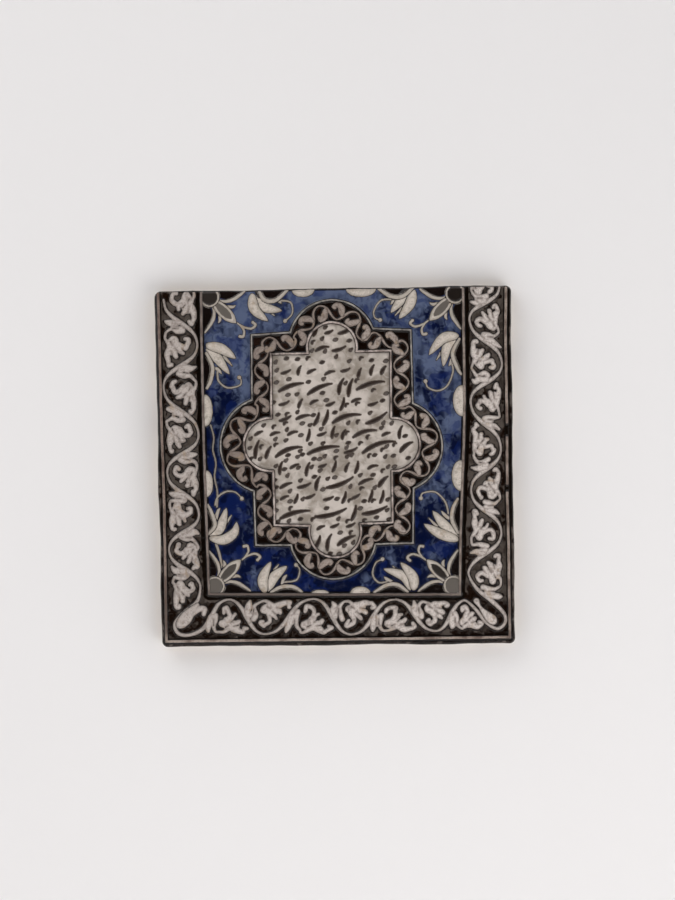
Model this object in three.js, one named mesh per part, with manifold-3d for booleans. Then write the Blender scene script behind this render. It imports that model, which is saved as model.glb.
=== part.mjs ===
// Moulded and glazed stonepaste wall tile: a lobed cartouche on a flower field, framed by a border of
// scrolling leaves down the left, along the foot and up the right.
// Millimetres. +Z is up, +X is to the right of someone who faces the tile, the face looks along -Y
// and the flat back lies on y = 0 with the origin at its middle.
// The relief is drawn in a flat sheet with x to the right and y up, raised towards the viewer, and stood up
// at the end.

import * as THREE from 'three';
import { mergeVertices } from 'three/addons/utils/BufferGeometryUtils.js';
import Module from 'manifold-3d';

const wasm = await Module();
wasm.setup();

// Outline of the slab, corner by corner: top left, top right, bottom right, bottom left
const CORNERS = [ [ - 126.0, 125.5 ], [ 125.7, 125.5 ], [ 124.7, - 125.8 ], [ - 124.5, - 125.2 ] ];
const CORNER_RADIUS = 2.6;
const CORNER_STEPS = 3;
const ARRIS = 0.8;
const EDGE_WAVE = 0.35;
const EDGE_SWINGS = 5.3;
const EDGE_PHASE = 2.1;
const EDGE_STEPS = 6;

// Heights above the back
const GROUND_TOP = 14.2;
const PANEL_TOP = 15.4;
const LEAF_TOP = 16.2;
const RIB_TOP = 16.8;
const STROKE_TOP = 15.8;
const ROOT_DEPTH = 1.0;

// Where outlines cross, points closer than this are made one
const SLIVER = 0.07;

// Turns of less than this many square millimetres count as straight
const STRAIGHT = 1e-6;

// Ribs
const OUTER_RIB = [ [ - 122.8, 128 ], [ - 123.0, - 122.0 ], [ 120.9, - 122.9 ], [ 123.6, 128 ] ];
const INNER_RIB = [ [ - 92.8, 128 ], [ - 92.3, - 88.8 ], [ 87.7, - 91.0 ], [ 92.7, 128 ] ];
const RIB_WIDTH = 1.9;

// Chips in the glaze and the outer rib: middle and length along the edge
const CHIPS = [ [ 123.4, 24.1, 8 ], [ 122.6, - 17.1, 4 ] ];
const CHIP_WIDTH = 3.4;
const CHIP_DEPTH = 1.6;

// The vine of the border turns at these points, in the order it grows: left side, foot, right side
const LEFT_BENDS = [
	[ - 97, 150 ], [ - 120.2, 120.4 ], [ - 96.6, 88.1 ], [ - 121.2, 58.6 ], [ - 96.8, 24.2 ],
	[ - 119.6, - 2.1 ], [ - 97.4, - 32.3 ], [ - 119.2, - 56.9 ], [ - 97.3, - 84.8 ], [ - 116.3, - 112.0 ],
];
const FOOT_BENDS = [
	[ - 106.1, - 117.9 ], [ - 77.8, - 93.0 ], [ - 52.0, - 118.1 ], [ - 17.3, - 93.6 ], [ 9.4, - 119.3 ],
	[ 40.2, - 94.9 ], [ 69.1, - 117.8 ], [ 90.8, - 96.6 ], [ 113.0, - 116.7 ],
];
const RIGHT_BENDS = [
	[ 118.3, - 110.5 ], [ 93.4, - 78.4 ], [ 117.1, - 48.8 ], [ 96.1, - 18.3 ], [ 117.8, 10.9 ],
	[ 96.8, 44.9 ], [ 119.5, 71.1 ], [ 96.9, 103.3 ], [ 118.7, 125.7 ], [ 97, 150 ],
];
const FOOT_CORNER = [
	[ - 100.2, - 94.6, 2.6 ], [ - 110.2, - 102.4, 2.6 ], [ - 116.0, - 110.0, 2.8 ], [ - 113.6, - 116.4, 2.8 ],
	[ - 106.1, - 117.9, 2.8 ], [ - 96.0, - 113.6, 2.8 ], [ - 89.0, - 103.2, 3.2 ], [ - 84.4, - 96.0, 2.4 ],
];
const HEAD_CORNER = [
	[ 97.7, - 102.6, 2.4 ], [ 105.1, - 112.3, 2.2 ], [ 113.0, - 116.9, 2.4 ], [ 118.6, - 113.0, 2.6 ],
	[ 118.2, - 106.4, 2.8 ], [ 110.0, - 97.6, 3.2 ], [ 99.4, - 88.6, 2.6 ],
];
const VINE_STATIONS = [
	{ share: 0, width: 2.1 }, { share: 0.34, width: 3.2 }, { share: 0.66, width: 3.2 },
];
const VINE_PULL = 0.5;

// Cartouche and panel outlines, anticlockwise from the top left: a corner, then a lobe as foot, crown, foot
const CARTOUCHE = {
	corners: [ [ - 58.0, 94.4 ], [ - 57.4, - 54.7 ], [ 54.2, - 55.0 ], [ 55.0, 96.2 ] ],
	lobes: [
		[ [ - 58.4, 48.4 ], [ - 81.2, 16.6 ], [ - 58.0, - 16.3 ] ],
		[ [ - 32.4, - 55.0 ], [ - 1.5, - 79.5 ], [ 27.4, - 55.3 ] ],
		[ [ 55.2, - 16.0 ], [ 76.0, 14.6 ], [ 55.6, 44.0 ] ],
		[ [ 28.2, 97.6 ], [ - 1.2, 118.4 ], [ - 30.4, 95.8 ] ],
	],
};
const PANEL = {
	corners: [ [ - 44.6, 80.9 ], [ - 43.8, - 40.6 ], [ 39.9, - 40.2 ], [ 40.6, 81.8 ] ],
	lobes: [
		[ [ - 44.8, 35.4 ], [ - 64.7, 17.0 ], [ - 44.2, - 2.3 ] ],
		[ [ - 18.9, - 41.6 ], [ - 1.4, - 64.3 ], [ 16.8, - 40.8 ] ],
		[ [ 40.2, - 3.7 ], [ 60.3, 15.4 ], [ 40.2, 34.0 ] ],
		[ [ 16.3, 81.6 ], [ - 0.9, 102.6 ], [ - 18.2, 80.8 ] ],
	],
};
const LOBE_STEPS = 7;
const CARTOUCHE_RIB_WIDTH = 1.5;
const PANEL_RIB_WIDTH = 1.8;
const BAND_BAYS = 46;

// Lilies growing from the edges of the field: foot, direction along the edge, direction into the field,
// then the tips of the two petals and the bud of the tendril, measured along the edge and into the field
const LILIES = [
	{ foot: [ - 90.4, 87.9 ], along: [ 0, - 1 ], into: [ 1, 0 ],
		first: [ 9.5, 20.5 ], second: [ 20.5, 16 ], bud: [ 23.4, 23.2 ] },
	{ foot: [ 89.6, 91.4 ], along: [ 0, - 1 ], into: [ - 1, 0 ],
		first: [ 12.8, 21.5 ], second: [ 21, 11.7 ], bud: [ 31.7, 24.6 ] },
	{ foot: [ - 91.2, - 49.1 ], along: [ 0, 1 ], into: [ 1, 0 ],
		first: [ 10.6, 20.4 ], second: [ 21, 13.2 ], bud: [ 27.7, 24.4 ] },
	{ foot: [ 86.6, - 53.4 ], along: [ 0, 1 ], into: [ - 1, 0 ],
		first: [ 11.4, 24.1 ], second: [ 20.6, 17.7 ], bud: [ 30.0, 26.3 ] },
	{ foot: [ - 51.4, - 88.4 ], along: [ 1, 0 ], into: [ 0, 1 ],
		first: [ 4.3, 21.3 ], second: [ 15.6, 18.2 ], bud: [ 22.4, 19.2 ] },
	{ foot: [ 52.9, - 89.6 ], along: [ - 1, 0 ], into: [ 0, 1 ],
		first: [ 7.5, 20.6 ], second: [ 19.5, 16.3 ], bud: [ 20.6, 23.4 ] },
	{ foot: [ - 56.4, 126.5 ], along: [ 1, 0 ], into: [ 0, - 1 ],
		first: [ 9.9, 22 ], second: [ 19.9, 14.9 ], bud: [ 21.3, 22.7 ] },
	{ foot: [ 57.6, 126.0 ], along: [ - 1, 0 ], into: [ 0, - 1 ],
		first: [ 10.4, 21.3 ], second: [ 16.3, 17 ], bud: [ 24.1, 22.4 ] },
];

const TENDRIL_ROOT = [ 17.6, 6.2 ];
const TENDRIL_WIDTH = 1.3;
const BUD_RADIUS = 1.8;

// Quarter rosettes in the corners of the field: corner, direction along its edge, direction into the field
const ROSETTES = [
	{ corner: [ - 91.9, 126.3 ], along: [ 1, 0 ], into: [ 0, - 1 ] },
	{ corner: [ 91.6, 125.9 ], along: [ - 1, 0 ], into: [ 0, - 1 ] },
	{ corner: [ - 91.4, - 88.0 ], along: [ 1, 0 ], into: [ 0, 1 ] },
	{ corner: [ 86.8, - 90.2 ], along: [ - 1, 0 ], into: [ 0, 1 ] },
];

const RING_RADIUS = 12.0;
const RING_WIDTH = 1.8;
const RING_STEPS = 4;

// Plain half petals on the edges of the field: middle, half length, reach, direction into the field
const HALF_PETALS = [
	[ [ - 20.9, 126.4 ], 6.2, 5.0, [ 0, - 1 ] ], [ [ 20.3, 126.4 ], 9.0, 5.6, [ 0, - 1 ] ],
	[ [ - 91.8, 41.5 ], 10.0, 5.2, [ 1, 0 ] ], [ [ - 91.6, - 10.5 ], 8.2, 4.4, [ 1, 0 ] ],
	[ [ 90.6, 45.4 ], 9.0, 6.2, [ - 1, 0 ] ], [ [ 89.4, - 7.8 ], 8.6, 6.8, [ - 1, 0 ] ],
	[ [ - 12.3, - 89.6 ], 5.6, 2.4, [ 0, 1 ] ], [ [ 16.2, - 90.0 ], 5.4, 4.6, [ 0, 1 ] ],
];

const HALF_PETAL_STEPS = 5;

// Rows of brush strokes on the panel: height of the row, left end, right end
const STROKE_ROWS = [
	[ 88, - 14, 12 ], [ 60, - 39, 35 ], [ 38, - 39, 35 ], [ 16, - 58, 53 ],
	[ - 8, - 40, 36 ], [ - 29, - 39, 35 ], [ - 50, - 14, 11 ],
];
const STROKE_PITCH = 12.5;
const STROKE_BOW = - 0.1;
const SWEEP = { run: 6.6, rise: 2.2, width: 1.6 };
const DASH = { run: 2.4, rise: 4.2, width: 1.4 };
const SWEEP_EVERY = 3;

// Points of the arc from one foot of a lobe to the other over its crown
function lobeArc( [ foot, crown, end ] ) {

	const a = new THREE.Vector2( ...foot );
	const b = new THREE.Vector2( ...crown );
	const c = new THREE.Vector2( ...end );
	const span = 2 * ( a.x * ( b.y - c.y ) + b.x * ( c.y - a.y ) + c.x * ( a.y - b.y ) );
	const [ aa, bb, cc ] = [ a, b, c ].map( ( p ) => p.lengthSq() );
	const x = ( aa * ( b.y - c.y ) + bb * ( c.y - a.y ) + cc * ( a.y - b.y ) ) / span;
	const y = ( aa * ( c.x - b.x ) + bb * ( a.x - c.x ) + cc * ( b.x - a.x ) ) / span;
	const radius = Math.hypot( a.x - x, a.y - y );
	const from = Math.atan2( a.y - y, a.x - x );
	let sweep = Math.atan2( c.y - y, c.x - x ) - from;
	if ( sweep < 0 ) sweep += 2 * Math.PI;
	const points = [];
	for ( let k = 0; k <= LOBE_STEPS; k ++ ) {

		const angle = from + sweep * k / LOBE_STEPS;
		points.push( [ x + radius * Math.cos( angle ), y + radius * Math.sin( angle ) ] );

	}

	return points;

}

// Closed outline of corners and lobes, anticlockwise
function lobedOutline( { corners, lobes } ) {

	return corners.flatMap( ( corner, i ) => [ corner, ...lobeArc( lobes[ i ] ) ] );

}

// A flat outline as a solid between two heights
function raise( outline, bottom, top ) {

	const shape = new THREE.Shape( outline.map( ( [ x, y ] ) => new THREE.Vector2( x, y ) ) );
	const geometry = new THREE.ExtrudeGeometry( shape, { depth: top - bottom, bevelEnabled: false } );
	geometry.translate( 0, 0, bottom );
	return toManifold( geometry );

}

// A closed geometry as a solid that can be joined and cut
function toManifold( geometry ) {

	geometry.deleteAttribute( 'normal' );
	geometry.deleteAttribute( 'uv' );
	const merged = mergeVertices( geometry );
	return new wasm.Manifold( new wasm.Mesh( {
		numProp: 3,
		vertProperties: Float32Array.from( merged.attributes.position.array ),
		triVerts: Uint32Array.from( merged.index.array ),
	} ) );

}

// All solids as one
function join( solids ) {

	let row = solids;
	while ( row.length > 1 ) {

		const next = [];
		for ( let i = 0; i < row.length; i += 2 ) {

			next.push( i + 1 < row.length ? row[ i ].add( row[ i + 1 ] ) : row[ i ] );

		}

		row = next;

	}

	return row[ 0 ];

}

// The convex outline round a few points, anticlockwise
function hull( points ) {

	const sorted = [ ...points ].sort( ( p, q ) => p[ 0 ] - q[ 0 ] || p[ 1 ] - q[ 1 ] );
	const side = ( row ) => {

		const kept = [];
		for ( const p of row ) {

			while ( kept.length > 1 && turn( kept.at( - 2 ), kept.at( - 1 ), p ) <= STRAIGHT ) kept.pop();
			kept.push( p );

		}

		kept.pop();
		return kept;

	};

	return [ ...side( sorted ), ...side( sorted.reverse() ) ];

}

// Twice the area of the triangle o, p, q, positive when it turns left
function turn( o, p, q ) {

	return ( p[ 0 ] - o[ 0 ] ) * ( q[ 1 ] - o[ 1 ] ) - ( p[ 1 ] - o[ 1 ] ) * ( q[ 0 ] - o[ 0 ] );

}

// Convex pieces of a ribbon along nodes of x, y and width
function ribbon( nodes, closed = false ) {

	const count = nodes.length;
	const sides = nodes.map( ( [ x, y, width ], i ) => {

		const before = nodes[ closed ? ( i + count - 1 ) % count : Math.max( i - 1, 0 ) ];
		const after = nodes[ closed ? ( i + 1 ) % count : Math.min( i + 1, count - 1 ) ];
		const inward = new THREE.Vector2( x - before[ 0 ], y - before[ 1 ] ).normalize();
		const outward = new THREE.Vector2( after[ 0 ] - x, after[ 1 ] - y ).normalize();
		const way = inward.clone().add( outward ).normalize();
		const stretch = Math.min( 1 / Math.max( way.dot( inward.lengthSq() ? inward : outward ), 0.5 ), 1.5 );
		const reach = width / 2 * stretch;
		return [ [ x - way.y * reach, y + way.x * reach ], [ x + way.y * reach, y - way.x * reach ] ];

	} );
	const spans = closed ? sides : sides.slice( 1 );
	return spans.map( ( _, i ) => hull( [ ...sides[ i ], ...sides[ ( i + 1 ) % count ] ] ) );

}

// A leaf from one point to another, widest in the middle, bowed to the left by a share of its length
function leaf( from, to, width, bow, steps = 3 ) {

	const way = [ to[ 0 ] - from[ 0 ], to[ 1 ] - from[ 1 ] ];
	const nodes = [];
	for ( let k = 0; k <= steps; k ++ ) {

		const t = k / steps;
		const swell = 4 * t * ( 1 - t );
		nodes.push( [
			from[ 0 ] + way[ 0 ] * t - way[ 1 ] * bow * swell,
			from[ 1 ] + way[ 1 ] * t + way[ 0 ] * bow * swell,
			width * Math.sqrt( swell ),
		] );

	}

	return ribbon( nodes );

}

// A round disc of a few sides
function disc( [ x, y ], radius, sides = 6 ) {

	const points = [];
	for ( let k = 0; k < sides; k ++ ) {

		const angle = 2 * Math.PI * k / sides;
		points.push( [ x + radius * Math.cos( angle ), y + radius * Math.sin( angle ) ] );

	}

	return points;

}

// Turns local distances along an edge and into the field into places on the tile
function placer( origin, along, into ) {

	return ( [ a, b, ...rest ] ) => [
		origin[ 0 ] + along[ 0 ] * a + into[ 0 ] * b,
		origin[ 1 ] + along[ 1 ] * a + into[ 1 ] * b,
		...rest,
	];

}

// The bends of one side of the border as one smooth curve, as nodes of x, y and width.
// It leaves each bend along the border and thickens halfway to the next, where a sheath grows from it.
function vineAlong( bends, way ) {

	const nodes = [];
	for ( let i = 1; i < bends.length - 2; i ++ ) {

		const from = bends[ i ];
		const to = bends[ i + 1 ];
		const advance = ( to[ 0 ] - from[ 0 ] ) * way[ 0 ] + ( to[ 1 ] - from[ 1 ] ) * way[ 1 ];
		const pull = VINE_PULL * Math.abs( advance );
		const curve = new THREE.CubicBezierCurve(
			new THREE.Vector2( ...from ),
			new THREE.Vector2( from[ 0 ] + way[ 0 ] * pull, from[ 1 ] + way[ 1 ] * pull ),
			new THREE.Vector2( to[ 0 ] - way[ 0 ] * pull, to[ 1 ] - way[ 1 ] * pull ),
			new THREE.Vector2( ...to ),
		);
		VINE_STATIONS.forEach( ( { share, width } ) => {

			nodes.push( [ ...curve.getPoint( share ).toArray(), width ] );

		} );

	}

	return [ ...nodes, [ ...bends[ bends.length - 2 ], VINE_STATIONS[ 0 ].width ] ];

}

// The acanthus sheath and split palmette in one bay of the border.
// In the bay a runs from the crossing before the bend to the one after, and b from the bend (-1) to the
// open side (1).
function borderBay( before, bend, after ) {

	const halfway = ( p, q ) => [ ( p[ 0 ] + q[ 0 ] ) / 2, ( p[ 1 ] + q[ 1 ] ) / 2 ];
	const from = ( p, q ) => [ q[ 0 ] - p[ 0 ], q[ 1 ] - p[ 1 ] ];
	const start = halfway( before, bend );
	const end = halfway( after, bend );
	const at = placer( start, from( start, end ), from( bend, halfway( start, end ) ) );
	return [
		...leaf( at( [ 0.20, 0.05 ] ), at( [ 0.0, 0.92 ] ), 5.0, 0.08, 2 ),
		...ribbon( [ [ 0.16, 0.0, 3.6 ], [ 0.18, 0.70, 3.2 ], [ 0.36, 0.96, 3.0 ], [ 0.58, 0.62, 6.4 ],
			[ 0.76, 0.90, 4.2 ], [ 0.96, 0.98, 2.6 ], [ 0.97, 0.62, 2.2 ] ].map( at ) ),
		...ribbon( [ [ 0.60, 0.4, 4.2 ], [ 0.67, - 0.20, 3.8 ], [ 0.54, - 0.58, 3.2 ],
			[ 0.42, - 0.28, 2.4 ] ].map( at ) ),
		...leaf( at( [ 0.62, 0.56 ] ), at( [ 0.92, 0.16 ] ), 4.6, 0.05, 2 ),
	];

}

// The leaves in the bays along one side of the border
function borderLeaves( bends ) {

	return bends.slice( 1, - 1 ).flatMap( ( bend, i ) => borderBay( bends[ i ], bend, bends[ i + 2 ] ) );

}

// The large leaf in each swirl of the two lower corners
function cornerLeaves() {

	const largeLeaf = [
		[ - 99.6, - 96.4, 2.0 ], [ - 104.2, - 101.2, 5.6 ], [ - 108.0, - 106.0, 8.6 ],
		[ - 111.6, - 109.8, 7.0 ], [ - 113.4, - 111.6, 2.4 ],
	];
	const leafCurl = [
		[ - 103.0, - 102.0, 4.0 ], [ - 98.2, - 99.4, 4.4 ], [ - 94.8, - 99.6, 4.2 ], [ - 95.2, - 103.2, 3.4 ],
	];
	const drop = [
		[ 98.6, - 97.0, 3.6 ], [ 101.0, - 101.2, 2.0 ], [ 105.4, - 106.6, 4.6 ],
		[ 109.4, - 110.4, 6.4 ], [ 111.6, - 112.8, 2.6 ],
	];
	return [ ...ribbon( largeLeaf ), ...ribbon( leafCurl ), ...ribbon( drop ) ];

}

// A lily: two pointed petals, a curved calyx over a half round heart, and a tendril that ends in a bud
function lily( { foot, along, into, first, second, bud } ) {

	const at = placer( foot, along, into );
	const hand = Math.sign( along[ 0 ] * into[ 1 ] - along[ 1 ] * into[ 0 ] );
	const [ reach, rise ] = bud;
	const tendril = [ TENDRIL_ROOT, [ reach * 1.16, rise * 0.38 ], [ reach * 1.3, rise * 0.86 ], bud ];
	return [
		...leaf( at( [ 0, 0 ] ), at( first ), 7.0, 0.16 * hand ),
		...leaf( at( [ 1.6, 0.6 ] ), at( second ), 6.6, 0.10 * hand ),
		...ribbon( [ [ 3.0, 0, 2.0 ], [ 10.5, 5.2, 2.8 ], [ 19.0, 4.2, 2.6 ], [ 26.4, 0, 2.0 ] ].map( at ) ),
		...ribbon( tendril.map( ( p ) => at( [ ...p, TENDRIL_WIDTH ] ) ) ),
		disc( at( bud ), BUD_RADIUS ),
	];

}

// A quarter rosette: a ring round the corner, a hollow petal on the diagonal, half petals and two curls
function rosette( { corner, along, into } ) {

	const at = placer( corner, along, into );
	const swap = ( [ a, b, width ] ) => [ b, a, width ];
	const ring = [];
	for ( let k = 0; k <= RING_STEPS; k ++ ) {

		const angle = Math.PI / 2 * k / RING_STEPS;
		ring.push( [ RING_RADIUS * Math.cos( angle ), RING_RADIUS * Math.sin( angle ), RING_WIDTH ] );

	}

	const halfPetal = [ [ 13.0, 4.2, 1.6 ], [ 21.0, 6.6, 2.2 ], [ 29.8, 0.6, 1.4 ] ];
	const petalSide = [ [ 9.0, 8.2, 1.4 ], [ 18.8, 13.2, 1.9 ], [ 22.2, 23.0, 1.4 ] ];
	const curl = [ [ 22.2, 23.0, 1.4 ], [ 28.6, 27.4, 1.7 ], [ 36.4, 26.4, 2.0 ] ];
	return [ ring, ...[ halfPetal, petalSide, curl ].flatMap( ( part ) => [ part, part.map( swap ) ] ) ]
		.flatMap( ( part ) => ribbon( part.map( at ) ) );

}

// A plain half petal lying along an edge of the field
function halfPetal( [ middle, halfLength, reach, into ] ) {

	const at = placer( middle, [ into[ 1 ], - into[ 0 ] ], into );
	const points = [];
	for ( let k = 0; k <= HALF_PETAL_STEPS; k ++ ) {

		const angle = Math.PI * k / HALF_PETAL_STEPS;
		points.push( at( [ halfLength * Math.cos( angle ), reach * Math.sin( angle ) ] ) );

	}

	return hull( points );

}

// The running scroll between cartouche and panel: a wavy stem with one curled leaf in each bay.
// u is -1 at the panel and 1 at the cartouche, and s counts bays along the middle of the band.
function bandScroll( outside, inside ) {

	const count = outside.length;
	const middle = outside.map( ( p, i ) => p.map( ( value, j ) => ( value + inside[ i ][ j ] ) / 2 ) );
	const run = [ 0 ];
	for ( let i = 0; i < count; i ++ ) {

		const next = middle[ ( i + 1 ) % count ];
		run.push( run[ i ] + Math.hypot( next[ 0 ] - middle[ i ][ 0 ], next[ 1 ] - middle[ i ][ 1 ] ) );

	}

	const bayLength = run[ count ] / BAND_BAYS;
	const at = ( [ s, u, width ] ) => {

		const distance = ( s * bayLength + run[ count ] ) % run[ count ];
		const i = run.findIndex( ( value ) => value > distance ) - 1;
		const share = ( distance - run[ i ] ) / ( run[ i + 1 ] - run[ i ] );
		const blend = ( row, j ) => row[ i ][ j ] + ( row[ ( i + 1 ) % count ][ j ] - row[ i ][ j ] ) * share;
		const lift = 0.5 + u / 2;
		return [
			blend( inside, 0 ) + ( blend( outside, 0 ) - blend( inside, 0 ) ) * lift,
			blend( inside, 1 ) + ( blend( outside, 1 ) - blend( inside, 1 ) ) * lift,
			width,
		];

	};

	const wave = [];
	const leaves = [];
	for ( let bay = 0; bay < BAND_BAYS; bay ++ ) {

		const side = bay % 2 ? 1 : - 1;
		const curled = [ [ 0.20, 0.3, 2.2 ], [ 0.52, - 0.28, 4.6 ], [ 0.88, - 0.42, 2.2 ] ];
		const crest = [ [ 0.20, 0.6, 1.3 ], [ 0.80, 0.6, 1.3 ] ];
		const laid = ( nodes ) => nodes.map( ( [ a, b, width ] ) => at( [ bay + a, side * b, width ] ) );
		wave.push( ...laid( crest ) );
		leaves.push( ...ribbon( laid( curled ) ) );

	}

	return [ ...ribbon( wave, true ), ...leaves ];

}

// Rows of tapered brush strokes: long shallow sweeps between short slanted dashes
function brushRows() {

	return STROKE_ROWS.flatMap( ( [ height, from, to ], row ) => {

		const count = Math.round( ( to - from ) / STROKE_PITCH );
		const pieces = [];
		for ( let k = 0; k < count; k ++ ) {

			const x = from + ( to - from ) * ( k + 0.5 ) / count;
			const { run, rise, width } = ( k + row ) % SWEEP_EVERY === 0 ? SWEEP : DASH;
			pieces.push( ...leaf( [ x - run, height - rise ], [ x + run, height + rise ], width, STROKE_BOW, 2 ) );

		}

		return pieces;

	} );

}

// The slab's outline, anticlockwise: four rounded corners joined by slightly uneven edges
function slabOutline() {

	const points = [];
	const corners = CORNERS.map( ( p ) => new THREE.Vector2( ...p ) );
	corners.forEach( ( corner, i ) => {

		const before = corners[ ( i + corners.length - 1 ) % corners.length ];
		const after = corners[ ( i + 1 ) % corners.length ];
		const back = before.clone().sub( corner ).normalize();
		const ahead = after.clone().sub( corner ).normalize();
		const start = corner.clone().addScaledVector( back, CORNER_RADIUS );
		const end = corner.clone().addScaledVector( ahead, CORNER_RADIUS );
		const next = after.clone().addScaledVector( ahead, - CORNER_RADIUS );
		points.push( ...new THREE.QuadraticBezierCurve( start, corner, end ).getPoints( CORNER_STEPS ) );
		for ( let k = 1; k < EDGE_STEPS; k ++ ) {

			const share = k / EDGE_STEPS;
			const swing = Math.sin( EDGE_SWINGS * Math.PI * share + EDGE_PHASE * i ) * Math.sin( Math.PI * share );
			const outward = new THREE.Vector2( - ahead.y, ahead.x );
			points.push( end.clone().lerp( next, share ).addScaledVector( outward, EDGE_WAVE * swing ) );

		}

	} );
	return points.reverse();

}

// The slab with its front and back edges eased
function slab( outline ) {

	const geometry = new THREE.ExtrudeGeometry( new THREE.Shape( outline ), {
		depth: GROUND_TOP - 2 * ARRIS,
		bevelThickness: ARRIS,
		bevelSize: ARRIS,
		bevelOffset: - ARRIS,
		bevelSegments: 1,
	} );
	geometry.translate( 0, 0, ARRIS );
	return toManifold( geometry );

}

// The whole tile as one solid, drawn flat
function tileSolid() {

	const outline = slabOutline();
	const cartouche = lobedOutline( CARTOUCHE );
	const panel = lobedOutline( PANEL );
	const withWidth = ( width ) => ( p ) => [ ...p, width ];
	const root = GROUND_TOP - ROOT_DEPTH;
	const ribs = [
		...ribbon( OUTER_RIB.map( withWidth( RIB_WIDTH ) ) ),
		...ribbon( INNER_RIB.map( withWidth( RIB_WIDTH ) ) ),
		...ribbon( cartouche.map( withWidth( CARTOUCHE_RIB_WIDTH ) ), true ),
		...ribbon( panel.map( withWidth( PANEL_RIB_WIDTH ) ), true ),
	];
	const leaves = [
		...ribbon( [
			...vineAlong( LEFT_BENDS, [ 0, - 1 ] ), ...FOOT_CORNER,
			...vineAlong( FOOT_BENDS, [ 1, 0 ] ), ...HEAD_CORNER,
			...vineAlong( RIGHT_BENDS, [ 0, 1 ] ),
		] ),
		...[ LEFT_BENDS, FOOT_BENDS, RIGHT_BENDS ].flatMap( borderLeaves ),
		...cornerLeaves(),
		...LILIES.flatMap( lily ),
		...ROSETTES.flatMap( rosette ),
		...HALF_PETALS.map( halfPetal ),
		...bandScroll( cartouche, panel ),
	];
	const relief = join( [
		...ribs.map( ( piece ) => raise( piece, root, RIB_TOP ) ),
		...leaves.map( ( piece ) => raise( piece, root, LEAF_TOP ) ),
		...brushRows().map( ( piece ) => raise( piece, root, STROKE_TOP ) ),
		raise( panel, root, PANEL_TOP ),
	] );
	const trim = raise( outline.map( ( p ) => p.toArray() ), 0, RIB_TOP );
	const chips = CHIPS.map( ( [ x, y, length ] ) => raise( [
		[ x - CHIP_WIDTH, y - length / 2 ], [ x + CHIP_WIDTH, y - length / 2 ],
		[ x + CHIP_WIDTH, y + length / 2 ], [ x - CHIP_WIDTH / 2, y + length / 2 ],
	], RIB_TOP - CHIP_DEPTH, RIB_TOP + CHIP_DEPTH ) );
	return slab( outline ).add( relief.intersect( trim ) ).subtract( join( chips ) ).simplify( SLIVER );

}

// A solid as a geometry, stood up so that the face looks along -Y
function toGeometry( solid ) {

	const { vertProperties, triVerts } = solid.getMesh();
	const geometry = new THREE.BufferGeometry();
	geometry.setAttribute( 'position', new THREE.BufferAttribute( vertProperties, 3 ) );
	geometry.setIndex( new THREE.BufferAttribute( triVerts, 1 ) );
	geometry.rotateX( Math.PI / 2 );
	geometry.computeVertexNormals();
	return geometry;

}

const glaze = new THREE.MeshStandardMaterial( { color: 0x6f6a70, roughness: 0.3, metalness: 0 } );
const tile = new THREE.Mesh( toGeometry( tileSolid() ), glaze );
tile.name = 'tile';

const wallTile = new THREE.Group();
wallTile.add( tile );

export default wallTile;
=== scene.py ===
"""Looks of a moulded stonepaste wall tile, painted under a glossy glaze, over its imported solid.

Sizes are real millimetres and become metres where a mesh is written. The face is drawn flat, with x to the
right and z up, and height above the back goes towards -Y.
"""

import logging
import math
from collections.abc import Sequence
from dataclasses import dataclass, field
from enum import Enum

import bmesh
import bpy
import numpy as np
from mathutils import Matrix, Vector


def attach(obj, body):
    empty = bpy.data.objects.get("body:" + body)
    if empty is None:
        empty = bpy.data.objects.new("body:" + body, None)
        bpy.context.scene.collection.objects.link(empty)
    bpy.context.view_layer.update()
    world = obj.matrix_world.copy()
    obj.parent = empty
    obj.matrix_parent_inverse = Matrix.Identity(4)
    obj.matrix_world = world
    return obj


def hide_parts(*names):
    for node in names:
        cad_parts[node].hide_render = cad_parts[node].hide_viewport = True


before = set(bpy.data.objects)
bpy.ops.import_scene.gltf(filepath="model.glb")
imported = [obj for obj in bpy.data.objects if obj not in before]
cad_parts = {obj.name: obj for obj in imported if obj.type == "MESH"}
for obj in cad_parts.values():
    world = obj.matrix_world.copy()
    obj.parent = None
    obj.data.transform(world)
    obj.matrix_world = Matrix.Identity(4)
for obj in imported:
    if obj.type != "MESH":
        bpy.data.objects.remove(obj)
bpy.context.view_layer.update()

log = logging.getLogger("tile")

MM = 0.001
Point = tuple[float, float]
Node = tuple[float, float, float]
Stroke = Sequence[Node]

# Outline of the slab, corner by corner: top left, top right, foot right, foot left
CORNERS = ((-126.5, 126.5), (126.7, 126.9), (125.7, -127.6), (-125.3, -126.0))
HALF_SIDE = 126.0
CORNER_RADIUS = 4.2
ARRIS = 1.5

# The pressed edges wave slowly, most of all in the middle of a side. Finer ripples lie on the wave, each with
# its strength, its turns along a side and its shift from side to side.
EDGE_WAVE = 0.35
EDGE_SWINGS = 5.3
EDGE_PHASE = 2.1
EDGE_RIPPLES = ((0.45, 23.7, 1.3), (0.3, 71.0, 0.7))
EDGE_REACH = 8.0

# Heights above the back
GROUND_TOP = 14.2
PANEL_TOP = 15.35
LEAF_RISE = 1.95
STROKE_RISE = 0.4
RIB_TOP = 16.75
SHEET_BACK = 10.0

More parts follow.
